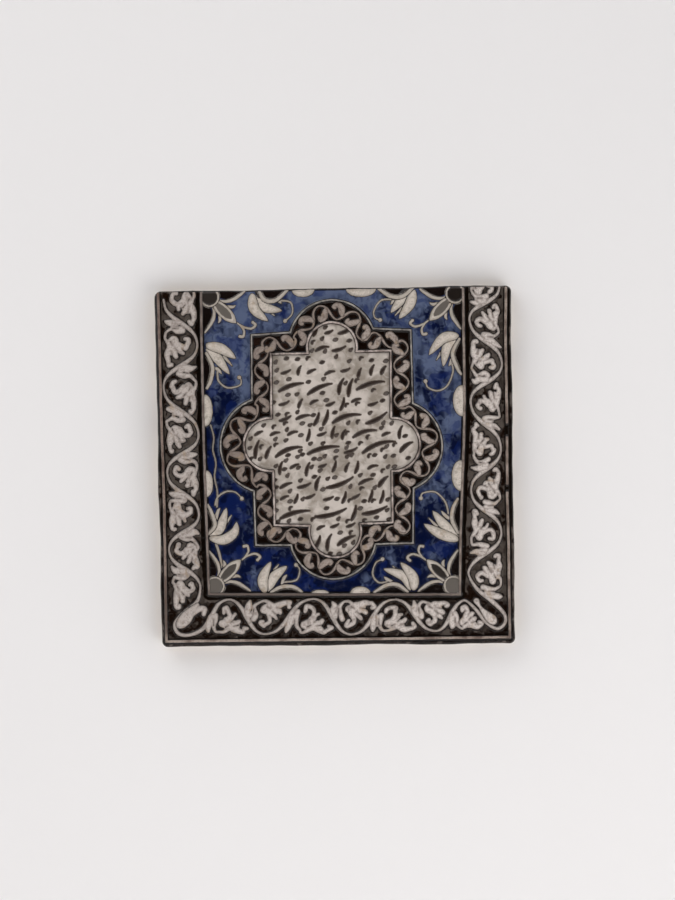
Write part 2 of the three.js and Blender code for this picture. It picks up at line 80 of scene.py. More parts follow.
# Middle lines of the ribs. The outer two end at the top edge, and the points beyond it close them for a mask.
OUTER_RIB = (
    (-123.8, 125.9), (-122.9, 33.0), (-121.9, -24.0), (-122.0, -122.0), (121.8, -122.9), (121.9, -60.0),
    (121.6, -24.0), (122.3, 33.0), (122.2, 90.0), (123.1, 125.9),
)
INNER_RIB = (
    (-93.2, 125.9), (-93.5, 97.0), (-93.2, 26.0), (-92.4, -27.0), (-91.1, -88.9), (0.0, -90.7), (86.8, -92.0),
    (88.0, -51.0), (89.7, -17.0), (91.5, 17.0), (92.5, 48.0), (92.5, 75.0), (92.7, 125.9),
)
OUTER_BEYOND = ((123.6, 140.0), (-122.8, 140.0))
INNER_BEYOND = ((92.7, 140.0), (-92.8, 140.0))
# Where the outer rib has lost its slip and glaze: middle and length of each gap
OUTER_CHIPS = ((123.4, 24.1, 8), (122.6, -17.1, 4))
CARTOUCHE_CORNERS = ((-58.0, 94.4), (-57.4, -54.7), (54.2, -55.0), (55.0, 96.2))
CARTOUCHE_LOBES = (
    ((-58.4, 48.4), (-81.2, 16.6), (-58.0, -16.3)),
    ((-32.4, -55.0), (-1.5, -79.5), (27.4, -55.3)),
    ((55.2, -16.0), (76.0, 14.6), (55.6, 44.0)),
    ((28.2, 97.6), (-1.2, 118.4), (-30.4, 95.8)),
)
PANEL_CORNERS = ((-44.6, 80.9), (-43.8, -40.6), (39.9, -40.2), (40.6, 81.8))
PANEL_LOBES = (
    ((-44.8, 35.4), (-64.7, 17.0), (-44.2, -2.3)),
    ((-18.9, -41.6), (-1.4, -64.3), (16.8, -40.8)),
    ((40.2, -3.7), (60.3, 15.4), (40.2, 34.0)),
    ((16.3, 81.6), (-0.9, 102.6), (-18.2, 80.8)),
)
LOBE_STEPS = 24

# The painter's dark line round a shape, the thinnest stroke, and what stands for a point outside every shape
LINE_WIDTH = 0.5
THINNEST = 0.2
FAR = -9.0

# How every surface of the tile returns light
SHEEN = {"IOR": 1.5, "Specular IOR Level": 0.32}


class Zone(Enum):
    """The areas of the face, from the edge to the middle."""

    BORDER = "border"
    FIELD = "field"
    BAND = "band"
    PANEL = "panel"


class Patch(Enum):
    """Seeded patterns over the face: seed, width of a patch in millimetres, and height where that differs."""

    GROUND_SWELLS = (1, 9)
    GROUND_DENTS = (2, 3.1)
    LEAF_CROWNS = (3, 2.3)
    PANEL_SWELLS = (4, 6)
    PANEL_DENTS = (5, 2.2)
    GRAIN = (6, 1.1)
    FINE_GRAIN = (7, 0.6)
    GREY_CLOUDS = (11, 6, 8)
    GREY_SPOTS = (12, 2.4)
    BLUE_CLOUDS = (13, 11, 15)
    BLUE_DABS = (14, 4.5, 9)
    BLUE_STREAKS = (15, 1.6, 5)
    BROWN_CLOUDS = (16, 6)
    CREAM_CLOUDS = (17, 11)
    CREAM_SPOTS = (18, 3.4)
    GUTTER_DRIFT = (19, 9)
    # how far out the painted shade round the border's leaves reaches, patch by patch
    LEAF_SHADE_EDGES = (20, 3.2)
    WORN_SLIP = (21, 5)
    WORN_RIM = (22, 14)
    BACK_HOLLOWS = (31, 26)


def linear(code: str) -> tuple[float, float, float, float]:
    """Turns a screen colour into linear light.

    Args:
        code: sRGB colour such as "#d5ccc2".
    Returns:
        Linear red, green and blue, and full alpha.
    """
    parts = [int(code[i : i + 2], 16) / 255 for i in (1, 3, 5)]
    light = [p / 12.92 if p <= 0.04045 else ((p + 0.055) / 1.055) ** 2.4 for p in parts]
    return (light[0], light[1], light[2], 1.0)


def add_node(
    tree: bpy.types.NodeTree,
    kind: str,
    settings: dict | None = None,
    values: dict | None = None,
    links: dict | None = None,
) -> bpy.types.Node:
    """Adds a node with its settings, its fixed inputs and its links.

    Args:
        tree: The node tree it joins.
        kind: Blender's name for the node's type.
        settings: Node properties by name.
        values: Values of unlinked inputs, by name or number.
        links: Output sockets to link, by the name or number of the input they feed.
    Returns:
        The new node.
    """
    node = tree.nodes.new(kind)
    for name, value in (settings or {}).items():
        setattr(node, name, value)
    for key, value in (values or {}).items():
        node.inputs[key].default_value = value
    for key, socket in (links or {}).items():
        tree.links.new(socket, node.inputs[key])
    return node


def start_material(name: str) -> bpy.types.Material:
    """An empty node material."""
    material = bpy.data.materials.new(name)
    material.use_nodes = True
    material.node_tree.nodes.clear()
    return material


def take_mesh(shell: bmesh.types.BMesh, name: str) -> bpy.types.Mesh:
    """Writes a finished shape into a mesh and lets go of it."""
    mesh = bpy.data.meshes.new(name)
    shell.to_mesh(mesh)
    shell.free()
    return mesh


def only(kind: type, parts: list) -> list:
    """Picks the vertices, edges or faces from what an operator gives back."""
    return [part for part in parts if isinstance(part, kind)]


def ramp(values: np.ndarray, low: float, high: float) -> np.ndarray:
    """Rises smoothly from 0 at low to 1 at high."""
    share = np.clip((values - low) / (high - low), 0.0, 1.0)
    return share * share * (3.0 - 2.0 * share)


def smooth(nodes: Stroke, steps: int = 6) -> np.ndarray:
    """Points of a smooth curve through nodes.

    Args:
        nodes: x, z and width at each node.
        steps: Points made for each stretch between two nodes.
    Returns:
        An array of x, z and half width.
    """
    rows = np.array([nodes[0], *nodes, nodes[-1]], dtype=float)
    share = np.linspace(0.0, 1.0, steps, endpoint=False)[:, None]
    points = []
    for a, b, c, d in zip(rows, rows[1:], rows[2:], rows[3:]):
        start, end, rise = (c - a) / 2, (d - b) / 2, c - b
        bend = 3 * rise - 2 * start - end + share * (start + end - 2 * rise)
        points.append(b + share * (start + share * bend))
    path = np.vstack([*points, rows[-1:]])
    path[:, 2] = np.maximum(path[:, 2], THINNEST) / 2
    return path


def lobed_line(corners: tuple, lobes: tuple) -> list[Point]:
    """The closed line of a panel with a round lobe in the middle of each side.

    Args:
        corners: Its corners, anticlockwise from the top left.
        lobes: For each corner the lobe that follows it: foot, crown, foot.
    Returns:
        Points of the line, anticlockwise.
    """
    line = []
    for corner, (foot, crown, end) in zip(corners, lobes):
        a, b, c = Vector(foot), Vector(crown), Vector(end)
        span = 2 * (a.x * (b.y - c.y) + b.x * (c.y - a.y) + c.x * (a.y - b.y))
        squares = (a.length_squared, b.length_squared, c.length_squared)
        x = (squares[0] * (b.y - c.y) + squares[1] * (c.y - a.y) + squares[2] * (a.y - b.y)) / span
        z = (squares[0] * (c.x - b.x) + squares[1] * (a.x - c.x) + squares[2] * (b.x - a.x)) / span
        radius = math.hypot(a.x - x, a.y - z)
        start = math.atan2(a.y - z, a.x - x)
        sweep = (math.atan2(c.y - z, c.x - x) - start) % (2 * math.pi)
        angles = [start + sweep * k / LOBE_STEPS for k in range(LOBE_STEPS + 1)]
        line.append(corner)
        line += [(x + radius * math.cos(t), z + radius * math.sin(t)) for t in angles]
    return line


CARTOUCHE = lobed_line(CARTOUCHE_CORNERS, CARTOUCHE_LOBES)
PANEL = lobed_line(PANEL_CORNERS, PANEL_LOBES)


@dataclass(frozen=True)
class Setting:
    """A local frame on the face: distances along an edge and into the area beside it."""

    origin: Point
    along: Point
    into: Point

    def at(self, node: tuple) -> tuple:
        """Turns local distances, and any width after them, into a place on the face."""
        a, b, *rest = node
        return (
            self.origin[0] + self.along[0] * a + self.into[0] * b,
            self.origin[1] + self.along[1] * a + self.into[1] * b,
            *rest,
        )

    def lay(self, nodes: Sequence) -> list:
        """Places every node of a stroke."""
        return [self.at(node) for node in nodes]


@dataclass
class Canvas:
    """What was moulded and painted, as distances in millimetres on a fine raster over the tile."""

    pitch: float = 0.2
    reach: float = 130.0
    margin: float = 4.0
    # a line is faint where it crosses slip that is laid this deep
    laid: float = 0.2
    faint: float = 0.3
    ticks: np.ndarray = field(init=False)
    form: np.ndarray = field(init=False)
    paint: np.ndarray = field(init=False)
    tone: np.ndarray = field(init=False)

    def __post_init__(self) -> None:
        """Lays out the empty raster."""
        count = int(round(2 * self.reach / self.pitch)) + 1
        self.ticks = np.linspace(-self.reach, self.reach, count)
        self.form = np.full((count, count), FAR, dtype=np.float32)
        self.paint = self.form.copy()
        self.tone = np.zeros_like(self.form)

    def window(self, low: Point, high: Point) -> tuple[slice, slice]:
        """Rows and columns of the raster that cover a box.

        Args:
            low: Its lower left corner.
            high: Its upper right corner.
        Returns:
            The rows and the columns.
        """
        spans = []
        for start, end in ((low[1], high[1]), (low[0], high[0])):
            first = int((start + self.reach) / self.pitch)
            last = int((end + self.reach) / self.pitch) + 2
            spans.append(slice(*np.clip((first, last), 0, len(self.ticks))))
        return spans[0], spans[1]

    def inside(self, paths: list[np.ndarray], margin: float | None = None) -> tuple[tuple, np.ndarray]:
        """How far inside a group of strokes each point lies.

        Args:
            paths: Strokes as arrays of x, z and half width.
            margin: How far outside is measured as well.
        Returns:
            The window of the raster, and the distances in it, negative outside.
        """
        margin = margin or self.margin
        every = np.vstack(paths)
        reach = every[:, 2].max() + margin
        whole = self.window((every[:, :2] - reach).min(0), (every[:, :2] + reach).max(0))
        rows, columns = whole
        depth = np.full((rows.stop - rows.start, columns.stop - columns.start), FAR, dtype=np.float32)
        for path in paths:
            for (x, z, r), (x1, z1, r1) in zip(path[:-1], path[1:]):
                pad = max(r, r1) + margin
                low = (min(x, x1) - pad, min(z, z1) - pad)
                part = self.window(low, (max(x, x1) + pad, max(z, z1) + pad))
                dx = self.ticks[part[1]][None, :] - x
                dz = self.ticks[part[0]][:, None] - z
                along = (x1 - x, z1 - z)
                length = max(along[0] ** 2 + along[1] ** 2, 1e-6)
                share = np.clip((dx * along[0] + dz * along[1]) / length, 0, 1)
                away = np.hypot(dx - along[0] * share, dz - along[1] * share)
                view = depth[
                    part[0].start - rows.start : part[0].stop - rows.start,
                    part[1].start - columns.start : part[1].stop - columns.start,
                ]
                np.maximum(view, r + (r1 - r) * share - away, out=view)
        return whole, depth

    def lay(
        self,
        strokes: Sequence[Stroke],
        tone: float = 0.0,
        line: float = LINE_WIDTH,
        raised: bool = True,
        clip: np.ndarray | None = None,
    ) -> None:
        """Lays a shape over what is there, with a dark line round it.

        Args:
            strokes: The strokes that make the shape.
            tone: 0 for bare slip, 0.5 for a grey wash, 1 for dark.
            line: Width of the line round it.
            raised: Whether it stands in relief as well.
            clip: Where it may show, as a mask of the whole raster.
        """
        window, depth = self.inside([smooth(stroke) for stroke in strokes])
        if clip is not None:
            depth = np.where(clip[window], depth, FAR)
        if raised:
            self.form[window] = np.maximum(self.form[window], depth)
        seen, older = depth > -line, self.paint[window]
        over = np.where(older > self.laid, np.maximum(depth, -self.faint), depth)
        self.paint[window] = np.where(seen, over, np.maximum(older, depth))
        self.tone[window] = np.where(seen, tone, self.tone[window])

    def score(self, stroke: Stroke) -> None:
        """Draws a dark line over what is there."""
        window, depth = self.inside([smooth(stroke)], margin=1.0)
        self.paint[window] = np.where(depth > FAR, np.minimum(self.paint[window], -depth), self.paint[window])

    def fence(self, line: Sequence[Point], closed: bool, margin: float = 14.0) -> np.ndarray:
        """Distances from every point to a line, up to the margin.

        Args:
            line: Points of the line.
            closed: Whether its end joins its start.
            margin: The largest distance.
        Returns:
            A raster of millimetres.
        """
        points = [*line, line[0]] if closed else list(line)
        path = np.array([(x, z, 0.0) for x, z in points])
        whole = np.full_like(self.form, margin)
        window, depth = self.inside([path], margin)
        whole[window] = np.minimum(-depth, margin)
        return whole

    def within(self, line: Sequence[Point]) -> np.ndarray:
        """Which points lie inside a closed line.

        Args:
            line: Points of the line.
        Returns:
            A mask of the whole raster.
        """
        found = np.zeros(self.form.shape, dtype=bool)
        for (x, z), (x1, z1) in zip(line, [*line[1:], line[0]]):
            if z == z1:
                continue
            low, high = min(z, z1), max(z, z1)
            rows = slice(*np.searchsorted(self.ticks, (low, high)))
            crossing = x + (self.ticks[rows] - z) / (z1 - z) * (x1 - x)
            found[rows] ^= self.ticks[None, :] < crossing[:, None]
        return found

    def sample(self, raster: np.ndarray, x: np.ndarray, z: np.ndarray) -> np.ndarray:
        """Values of a raster at places on the face.

        Args:
            raster: Any raster of this canvas.
            x: Places to the right.
            z: Places up.
        Returns:
            The values, blended between the four nearest points.
        """
        column = np.clip((x + self.reach) / self.pitch, 0, len(self.ticks) - 1.001)
        row = np.clip((z + self.reach) / self.pitch, 0, len(self.ticks) - 1.001)
        i, j = row.astype(int), column.astype(int)
        a, b = row - i, column - j
        top = raster[i, j] * (1 - b) + raster[i, j + 1] * b
        low = raster[i + 1, j] * (1 - b) + raster[i + 1, j + 1] * b
        return top * (1 - a) + low * a

    def grain(self, patch: Patch) -> np.ndarray:
        """Smooth random patches from -1 to 1: round ones turned anyhow, long ones nearly upright.

        Args:
            patch: Which pattern.
        Returns:
            A raster of this canvas.
        """
        seed, width, *long = patch.value
        height = long[0] if long else width
        random = np.random.default_rng(seed)
        turn = 0.12 if long else random.uniform(0.3, 1.2)
        x, z = self.ticks[None, :] + self.reach, self.ticks[:, None] + self.reach
        across = (x * math.cos(turn) + z * math.sin(turn)) / width
        up = (z * math.cos(turn) - x * math.sin(turn)) / height
        up -= up.min()
        i, j = up.astype(np.int32), across.astype(np.int32)
        a, b = (up - i).astype(np.float32), (across - j).astype(np.float32)
        a, b = a * a * (3 - 2 * a), b * b * (3 - 2 * b)
        grid = random.uniform(-1, 1, (i.max() + 2, j.max() + 2)).astype(np.float32)
        low = grid[i, j] * (1 - b) + grid[i, j + 1] * b
        high = grid[i + 1, j] * (1 - b) + grid[i + 1, j + 1] * b
        return low * (1 - a) + high * a


@dataclass
class BorderVine:
    """The scrolling vine of the border and the split leaves in its bays, from top left round to top right."""

    left: tuple = (
        (-97, 150), (-120.2, 120.4), (-96.6, 88.1), (-121.2, 58.6), (-96.8, 24.2),
        (-119.6, -2.1), (-97.4, -32.3), (-119.2, -56.9), (-97.3, -84.8), (-116.3, -112.0),
    )
    foot: tuple = (
        (-106.1, -117.9), (-77.8, -93.0), (-52.0, -118.1), (-17.3, -93.6), (9.4, -119.3),
        (40.2, -94.9), (69.1, -117.8), (90.8, -96.6), (113.0, -116.7),
    )
    right: tuple = (
        (118.3, -110.5), (93.4, -78.4), (117.1, -48.8), (96.1, -18.3), (117.8, 10.9),
        (96.8, 44.9), (119.5, 71.1), (96.9, 103.3), (118.7, 125.7), (97, 150),
    )
    left_turn: tuple = (
        (-100.2, -94.6, 2.6), (-110.2, -102.4, 2.4), (-116.0, -110.0, 2.4), (-113.6, -116.4, 2.6),
        (-106.1, -117.9, 2.6), (-96.0, -113.6, 2.8), (-89.0, -103.2, 3.2), (-84.4, -96.0, 2.4),
    )
    right_turn: tuple = (
        (97.7, -102.6, 2.4), (105.1, -112.3, 2.2), (113.0, -116.9, 2.4), (118.6, -113.0, 2.4),
        (118.2, -106.4, 2.6), (110.0, -97.6, 3.2), (99.4, -88.6, 2.6),
    )
    left_leaf: tuple = (
        ((-99.6, -96.4, 2.6), (-104.2, -101.2, 6.0), (-108.0, -106.0, 8.8), (-111.6, -109.8, 6.6),
         (-113.4, -111.6, 1.4)),
        ((-103.0, -102.0, 4.6), (-98.2, -99.4, 4.4), (-94.8, -99.6, 4.2), (-95.2, -103.2, 3.2)),
    )
    right_leaf: tuple = (
        ((98.6, -97.0, 4.2), (101.0, -101.2, 2.2), (105.4, -106.6, 5.0), (109.4, -110.4, 6.8),
         (111.6, -112.8, 1.6)),
    )
    # one bay: a sheath of two strokes, the hook, the body of the leaf, the curl, two lobes and the horn
    leaf: tuple = (
        ((0.03, -0.06, 3.0), (0.03, 0.34, 5.2), (0.02, 0.62, 4.8), (0.01, 0.88, 2.2)),
        ((0.10, -0.02, 4.2), (0.10, 0.26, 3.6), (0.11, 0.46, 2.4)),
        ((0.19, -0.13, 4.4), (0.19, 0.18, 4.4), (0.185, 0.54, 3.4), (0.25, 0.79, 2.4), (0.34, 0.87, 2.2),
         (0.43, 0.82, 2.8), (0.52, 0.64, 4.4)),
        ((0.385, 0.42, 6.2), (0.47, 0.42, 8.6), (0.57, 0.45, 9.6), (0.67, 0.48, 8.0)),
        ((0.49, 0.18, 4.6), (0.545, -0.06, 3.9), (0.55, -0.31, 3.8), (0.50, -0.48, 3.7), (0.425, -0.51, 3.4),
         (0.36, -0.40, 3.7), (0.37, -0.27, 3.0)),
        ((0.57, 0.22, 4.8), (0.64, 0.0, 4.0), (0.70, -0.12, 2.7)),
        ((0.68, 0.42, 5.4), (0.80, 0.22, 3.5)),
        ((0.61, 0.56, 7.4), (0.73, 0.72, 5.6), (0.86, 0.80, 4.0), (0.955, 0.77, 3.4), (1.0, 0.65, 3.4),
         (0.95, 0.56, 3.2)),
    )
    creases: tuple = (
        ((0.665, 0.16), (0.59, 0.32)), ((0.80, 0.46), (0.67, 0.52)), ((0.145, 0.46), (0.14, 0.14)),
        ((0.45, 0.58), (0.53, 0.48)),
    )
    pull: float = 0.5
    steps: int = 6
    thin: float = 1.6
    swell: float = 1.7
    unevenness: float = 0.024
    seed: int = 4

    def side(self, bends: tuple, way: Point) -> list[Node]:
        """The vine along one side.

        Args:
            bends: Where it turns.
            way: The direction it grows in.
        Returns:
            Nodes of x, z and width.
        """
        nodes = []
        for start, end in zip(bends[1:-2], bends[2:-1]):
            advance = abs((end[0] - start[0]) * way[0] + (end[1] - start[1]) * way[1]) * self.pull
            holds = (start, (start[0] + way[0] * advance, start[1] + way[1] * advance),
                     (end[0] - way[0] * advance, end[1] - way[1] * advance), end)
            for k in range(self.steps):
                t = k / self.steps
                weights = ((1 - t) ** 3, 3 * t * (1 - t) ** 2, 3 * t * t * (1 - t), t ** 3)
                x = sum(w * p[0] for w, p in zip(weights, holds))
                z = sum(w * p[1] for w, p in zip(weights, holds))
                nodes.append((x, z, self.thin + self.swell * math.sin(math.pi * t) ** 2))
        return [*nodes, (*bends[-2], self.thin)]

    @staticmethod
    def bay(before: Point, bend: Point, after: Point) -> Setting:
        """The frame of one bay: along from crossing to crossing, and from the middle to the open side."""
        start = Vector(before).lerp(Vector(bend), 0.5)
        end = Vector(after).lerp(Vector(bend), 0.5)
        return Setting(tuple(start), tuple(end - start), tuple(start.lerp(end, 0.5) - Vector(bend)))

    def leaves(self, bay: Setting, random: np.random.Generator, weight: float) -> list[list[Node]]:
        """The sheath and the split leaf of one bay, a little different each time, as cut by hand.

        Args:
            bay: The frame of the bay.
            random: What the differences are drawn from.
            weight: How wide the strokes are in this bay.
        Returns:
            The strokes of both.
        """
        strokes = []
        for stroke in self.leaf:
            nodes = []
            for a, b, width in stroke:
                shift = random.normal(0, self.unevenness, 3)
                place = bay.at((a + shift[0], b + 1.6 * shift[1]))
                nodes.append((*place, weight * width * (1 + 3 * shift[2])))
            strokes.append(nodes)
        return strokes

    def draw(self, canvas: Canvas) -> None:
        """Draws the whole border.

        Args:
            canvas: What it is drawn on.
        """
        vine = [*self.side(self.left, (0, -1)), *self.left_turn, *self.side(self.foot, (1, 0)),
                *self.right_turn, *self.side(self.right, (0, 1))]
        canvas.lay([vine], tone=0.14, line=0.4)
        random = np.random.default_rng(self.seed)
        for bends, weight in ((self.left, 0.9), (self.foot, 0.86), (self.right, 0.83)):
            for before, bend, after in zip(bends, bends[1:], bends[2:]):
                bay = self.bay(before, bend, after)
                canvas.lay(self.leaves(bay, random, weight), line=0.0)
                for start, end in self.creases:
                    canvas.score(bay.lay([(*start, 0.55), (*end, 0.2)]))
        canvas.lay(self.left_leaf)
        canvas.lay(self.right_leaf)


@dataclass(frozen=True)
class Lily:
    """A lily that grows from an edge of the field: two petals, a calyx over a dark heart and a tendril."""

    setting: Setting
    first: tuple
    second: tuple
    calyx: tuple
    tendril: tuple
    width: float = 7.2
    outline: float = 0.65

    @staticmethod
    def petal(spine: tuple, width: float) -> list[Node]:
        """A pointed petal along its spine."""
        points = smooth([(*point, 1.0) for point in spine], 4)[:, :2]
        shares = np.linspace(0, 1, len(points))
        swell = np.sin(math.pi * shares ** 0.85) ** 0.8
        return [(x, z, max(width * s, 0.5)) for (x, z), s in zip(points, swell)]

    def draw(self, canvas: Canvas) -> None:
        """Draws the flower, the hindmost parts first.

        Args:
            canvas: What it is drawn on.
        """
        lay = self.setting.lay
        (tip, other), crown = (self.first[-1], self.second[-1]), self.calyx
        between = ((tip[0] + other[0]) / 2, (tip[1] + other[1]) / 2)
        middle = ((1.5, 1.0), (between[0] * 0.5, between[1] * 0.62), between)
        beyond = (other[0], other[1] * 0.66)
        lowest = (crown[1], (beyond[0] * 0.86, beyond[1] * 0.8), beyond)
        widths = np.linspace(1.3, 0.9, len(self.tendril))
        tendril = [(*point, width) for point, width in zip(self.tendril, widths)]
        bud = [(*self.tendril[-1], width) for width in (2.8, 2.6)]
        heart = [(x, z * 0.1, 1.7 * max(z, 0.5)) for x, z in crown[1:-1]]
        heart = [(crown[0][0] + 1, 0, 1.0), *heart, (crown[-1][0] - 1, 0, 1.0)]
        last = len(crown) - 1
        widths = np.interp(range(last + 1), (0, last / 2, last), (2.0, 3.0, 1.9))
        calyx = [(*point, width) for point, width in zip(crown, widths)]
        for nodes, look in (
            (self.petal(middle, 2.6), {"tone": 0.15}),
            (self.petal(lowest, 2.4), {"tone": 0.12}),
            (tendril, {"tone": 0.22, "line": 0.15}),
            (bud, {"tone": 0.16, "line": 0.0}),
            (self.petal(self.second, self.width), {"line": self.outline}),
            (self.petal(self.first, self.width), {"line": self.outline}),
            (heart, {"tone": 1.0, "raised": False}),
            (calyx, {"line": self.outline}),
        ):
            canvas.lay([lay(nodes)], **look)


@dataclass(frozen=True)
class Rosette:
    """A quarter rosette in a corner of the field: a ringed disc, a long petal and two half petals."""

    setting: Setting
    disc: float
    heart: float

    def draw(self, canvas: Canvas, clip: np.ndarray) -> None:
        """Draws it, the hindmost parts first.

        Args:
            canvas: What it is drawn on.
            clip: Where the field is.
        """
        lay = self.setting.lay
        twins = (
            (((10.0, 0.4, 6.0), (19.0, 1.0, 10.0), (27.5, 0.0, 2.0)), {"tone": 1.0, "raised": False}),
            (((9.6, 6.2, 1.4), (14.6, 7.6, 2.0), (20.3, 6.8, 2.3), (26.0, 3.4, 1.9), (29.4, 0.8, 1.2)),
             {"line": 0.5}),
            (((12.6, 9.4, 1.4), (16.8, 11.4, 2.6), (20.6, 11.6, 2.0), (22.6, 10.6, 0.6)),
             {"tone": 0.08, "line": 0.5}),
        )
        for nodes, look in twins:
            canvas.lay([lay(nodes)], **look)
            canvas.lay([lay([(b, a, width) for a, b, width in nodes])], **look)
        curl = [(22.0, 21.6, 0.9), (27.6, 25.6, 1.3), (33.4, 27.2, 1.6), (36.8, 25.0, 1.8), (35.0, 22.8, 2.1)]
        other = [(25.6, 24.4, 0.9), (28.6, 28.8, 1.4), (28.0, 32.6, 1.8), (25.6, 32.6, 2.1)]
        canvas.lay([lay(curl), lay(other)], tone=0.12, line=0.45)
        petal = [(8.4, 8.4, 5.0), (12.6, 12.8, 8.2), (17.2, 17.4, 8.0), (20.4, 20.6, 4.6), (22.8, 22.8, 0.7)]
        canvas.lay([lay(petal)], line=0.6)
        middle = [(9.6, 9.6, 2.4), (12.8, 13.0, 4.8), (16.6, 16.8, 4.8), (19.6, 19.8, 0.8)]
        canvas.lay([lay(middle)], tone=self.heart, line=0.15, raised=False)
        rim, disc = ([lay([(4.4, 4.4, width), (4.5, 4.5, width)])] for width in (13.8, 10.8))
        canvas.lay(rim, line=0.6, clip=clip)
        canvas.lay(disc, tone=self.disc, line=0.3, raised=False, clip=clip)


@dataclass
class FlowerField:
    """The lilies, rosettes, half petals and stems of the blue field."""

    half_petals: tuple = (
        ((-20.9, 126.0), 6.2, 5.0, (0, -1)), ((20.3, 126.0), 9.0, 5.6, (0, -1)),
        ((-91.8, 41.5), 10.0, 5.2, (1, 0)), ((-91.6, -10.5), 8.2, 4.4, (1, 0)),
        ((90.6, 45.4), 9.0, 6.2, (-1, 0)), ((89.4, -7.8), 8.6, 6.8, (-1, 0)),
        ((-12.3, -89.6), 5.6, 2.4, (0, 1)), ((16.2, -90.0), 5.4, 4.6, (0, 1)),
    )
    long_stem: tuple = (
        (-88.2, 31.0, 1.1), (-86.0, 22.4, 1.1), (-86.8, 13.4, 1.1), (-84.8, 4.0, 1.1), (-86.0, -6.0, 1.1),
        (-84.2, -16.0, 1.1), (-84.6, -27.0, 1.3),
    )
    short_stem: tuple = ((-86.6, -51.0, 1.6), (-83.6, -60.0, 1.8), (-81.4, -70.6, 1.4))

    @staticmethod
    def lilies() -> list[Lily]:
        """The eight lilies, two on each edge.

        Returns:
            The lilies, in the order they are drawn.
        """
        down, up, right, left = (0, -1), (0, 1), (1, 0), (-1, 0)
        return [
            Lily(Setting((-90.4, 87.9), down, right), ((0, 0), (2.8, 10.7), (9.6, 20.6)),
                 ((2.1, 0.7), (8.5, 7.1), (20.6, 16.0)), ((5.7, 0), (15.6, 4.3), (25.6, 2.6), (30.5, 0)),
                 ((19.2, 7.8), (25.6, 8.5), (30.5, 14.6), (29.1, 23.2), (25.6, 24.5), (23.4, 23.2))),
            Lily(Setting((89.6, 91.4), down, left), ((0, 0.7), (1.4, 11.4), (12.8, 21.7)),
                 ((0.7, 0.7), (7.1, 8.5), (21.0, 11.7)), ((2.1, 0), (12.1, 5.0), (22.0, 2.1), (27.0, -0.7)),
                 ((18.5, 5.7), (25.6, 5.0), (35.2, 9.2), (38.6, 16.0), (36.2, 22.9), (31.7, 24.6))),
            Lily(Setting((-91.2, -49.1), up, right), ((0, 0.7), (-1.4, 10.7), (3.6, 18.5), (10.7, 20.4)),
                 ((1.4, 0.7), (7.1, 8.5), (20.9, 13.2)), ((2.8, 0), (8.9, 5.0), (17.5, 2.8), (23.4, 0)),
                 ((23.4, 5.4), (28.7, 7.1), (32.7, 13.2), (32.2, 19.9), (27.7, 24.4))),
            Lily(Setting((86.6, -53.4), up, left), ((0, 0), (4.3, 12.1), (11.4, 24.1)),
                 ((1.4, 0), (9.9, 9.2), (20.6, 17.8)), ((5.0, 0), (13.8, 4.3), (22.4, 3.6), (29.1, 0)),
                 ((19.0, 6.9), (27.5, 9.2), (34.4, 16.3), (33.6, 24.9), (30.1, 26.3))),
            Lily(Setting((-51.4, -88.4), right, up), ((0, 0), (-1.4, 9.9), (4.3, 21.3)),
                 ((1.4, 0.7), (6.4, 10.7), (15.6, 18.2)), ((4.3, 0), (11.4, 3.6), (19.9, 3.6), (25.9, 0)),
                 ((13.8, 7.1), (22.4, 8.5), (24.9, 15.6), (22.4, 19.2))),
            Lily(Setting((52.9, -89.6), left, up), ((-1.4, 1.4), (-0.7, 10.7), (7.5, 20.6)),
                 ((0.7, 1.4), (5.0, 10.7), (19.5, 16.3)), ((3.2, 0), (9.9, 5.0), (17.8, 5.0), (26.6, 0)),
                 ((17.0, 7.1), (23.8, 7.1), (27.7, 12.8), (25.6, 20.6), (20.6, 23.4))),
            Lily(Setting((-56.4, 126.5), right, down), ((-0.7, 2.8), (0.7, 13.5), (9.9, 22.0)),
                 ((2.8, 3.6), (7.8, 12.1), (19.9, 14.9)), ((4.3, 0.7), (7.8, 7.1), (15.6, 7.8), (24.1, 0.7)),
                 ((19.9, 7.8), (26.7, 9.5), (27.5, 17.3), (22.4, 22.4))),
            Lily(Setting((57.6, 126.0), left, down), ((0, 1.4), (2.8, 11.4), (10.4, 21.3)),
                 ((1.4, 1.4), (7.1, 6.4), (16.3, 17.0)), ((0.7, 0), (7.8, 5.7), (16.3, 5.7), (24.9, 0)),
                 ((15.6, 7.8), (23.4, 8.5), (28.4, 15.6), (27.7, 20.6), (24.1, 22.4))),
        ]

    @staticmethod
    def rosettes() -> list[Rosette]:
        """The four quarter rosettes."""
        corners = (
            ((-91.9, 126.3), (1, 0), (0, -1), 0.90, 0.62), ((91.6, 125.9), (-1, 0), (0, -1), 0.92, 0.60),
            ((-91.4, -88.0), (1, 0), (0, 1), 0.60, 0.84), ((86.8, -90.2), (-1, 0), (0, 1), 0.60, 0.90),
        )
        return [Rosette(Setting(*place), disc, heart) for *place, disc, heart in corners]

    def draw(self, canvas: Canvas, inner: np.ndarray) -> None:
        """Draws everything on the field.

        Args:
            canvas: What it is drawn on.
            inner: Everything inside the inner rib, as a mask.
        """
        canvas.lay([self.long_stem], tone=0.3, line=0.3)
        canvas.lay([self.short_stem], tone=0.2, line=0.3)
        for middle, half, reach, into in self.half_petals:
            setting = Setting(middle, (into[1], -into[0]), into)
            shares = (-1, -0.86, -0.5, 0, 0.5, 0.86, 1)
            disc = [(half * s, 0, 2 * reach * math.sqrt(max(1 - s * s, 0.01))) for s in shares]
            canvas.lay([setting.lay(disc)], clip=inner)
        for rosette in self.rosettes():
            rosette.draw(canvas, inner)
        for lily in self.lilies():
            lily.draw(canvas)


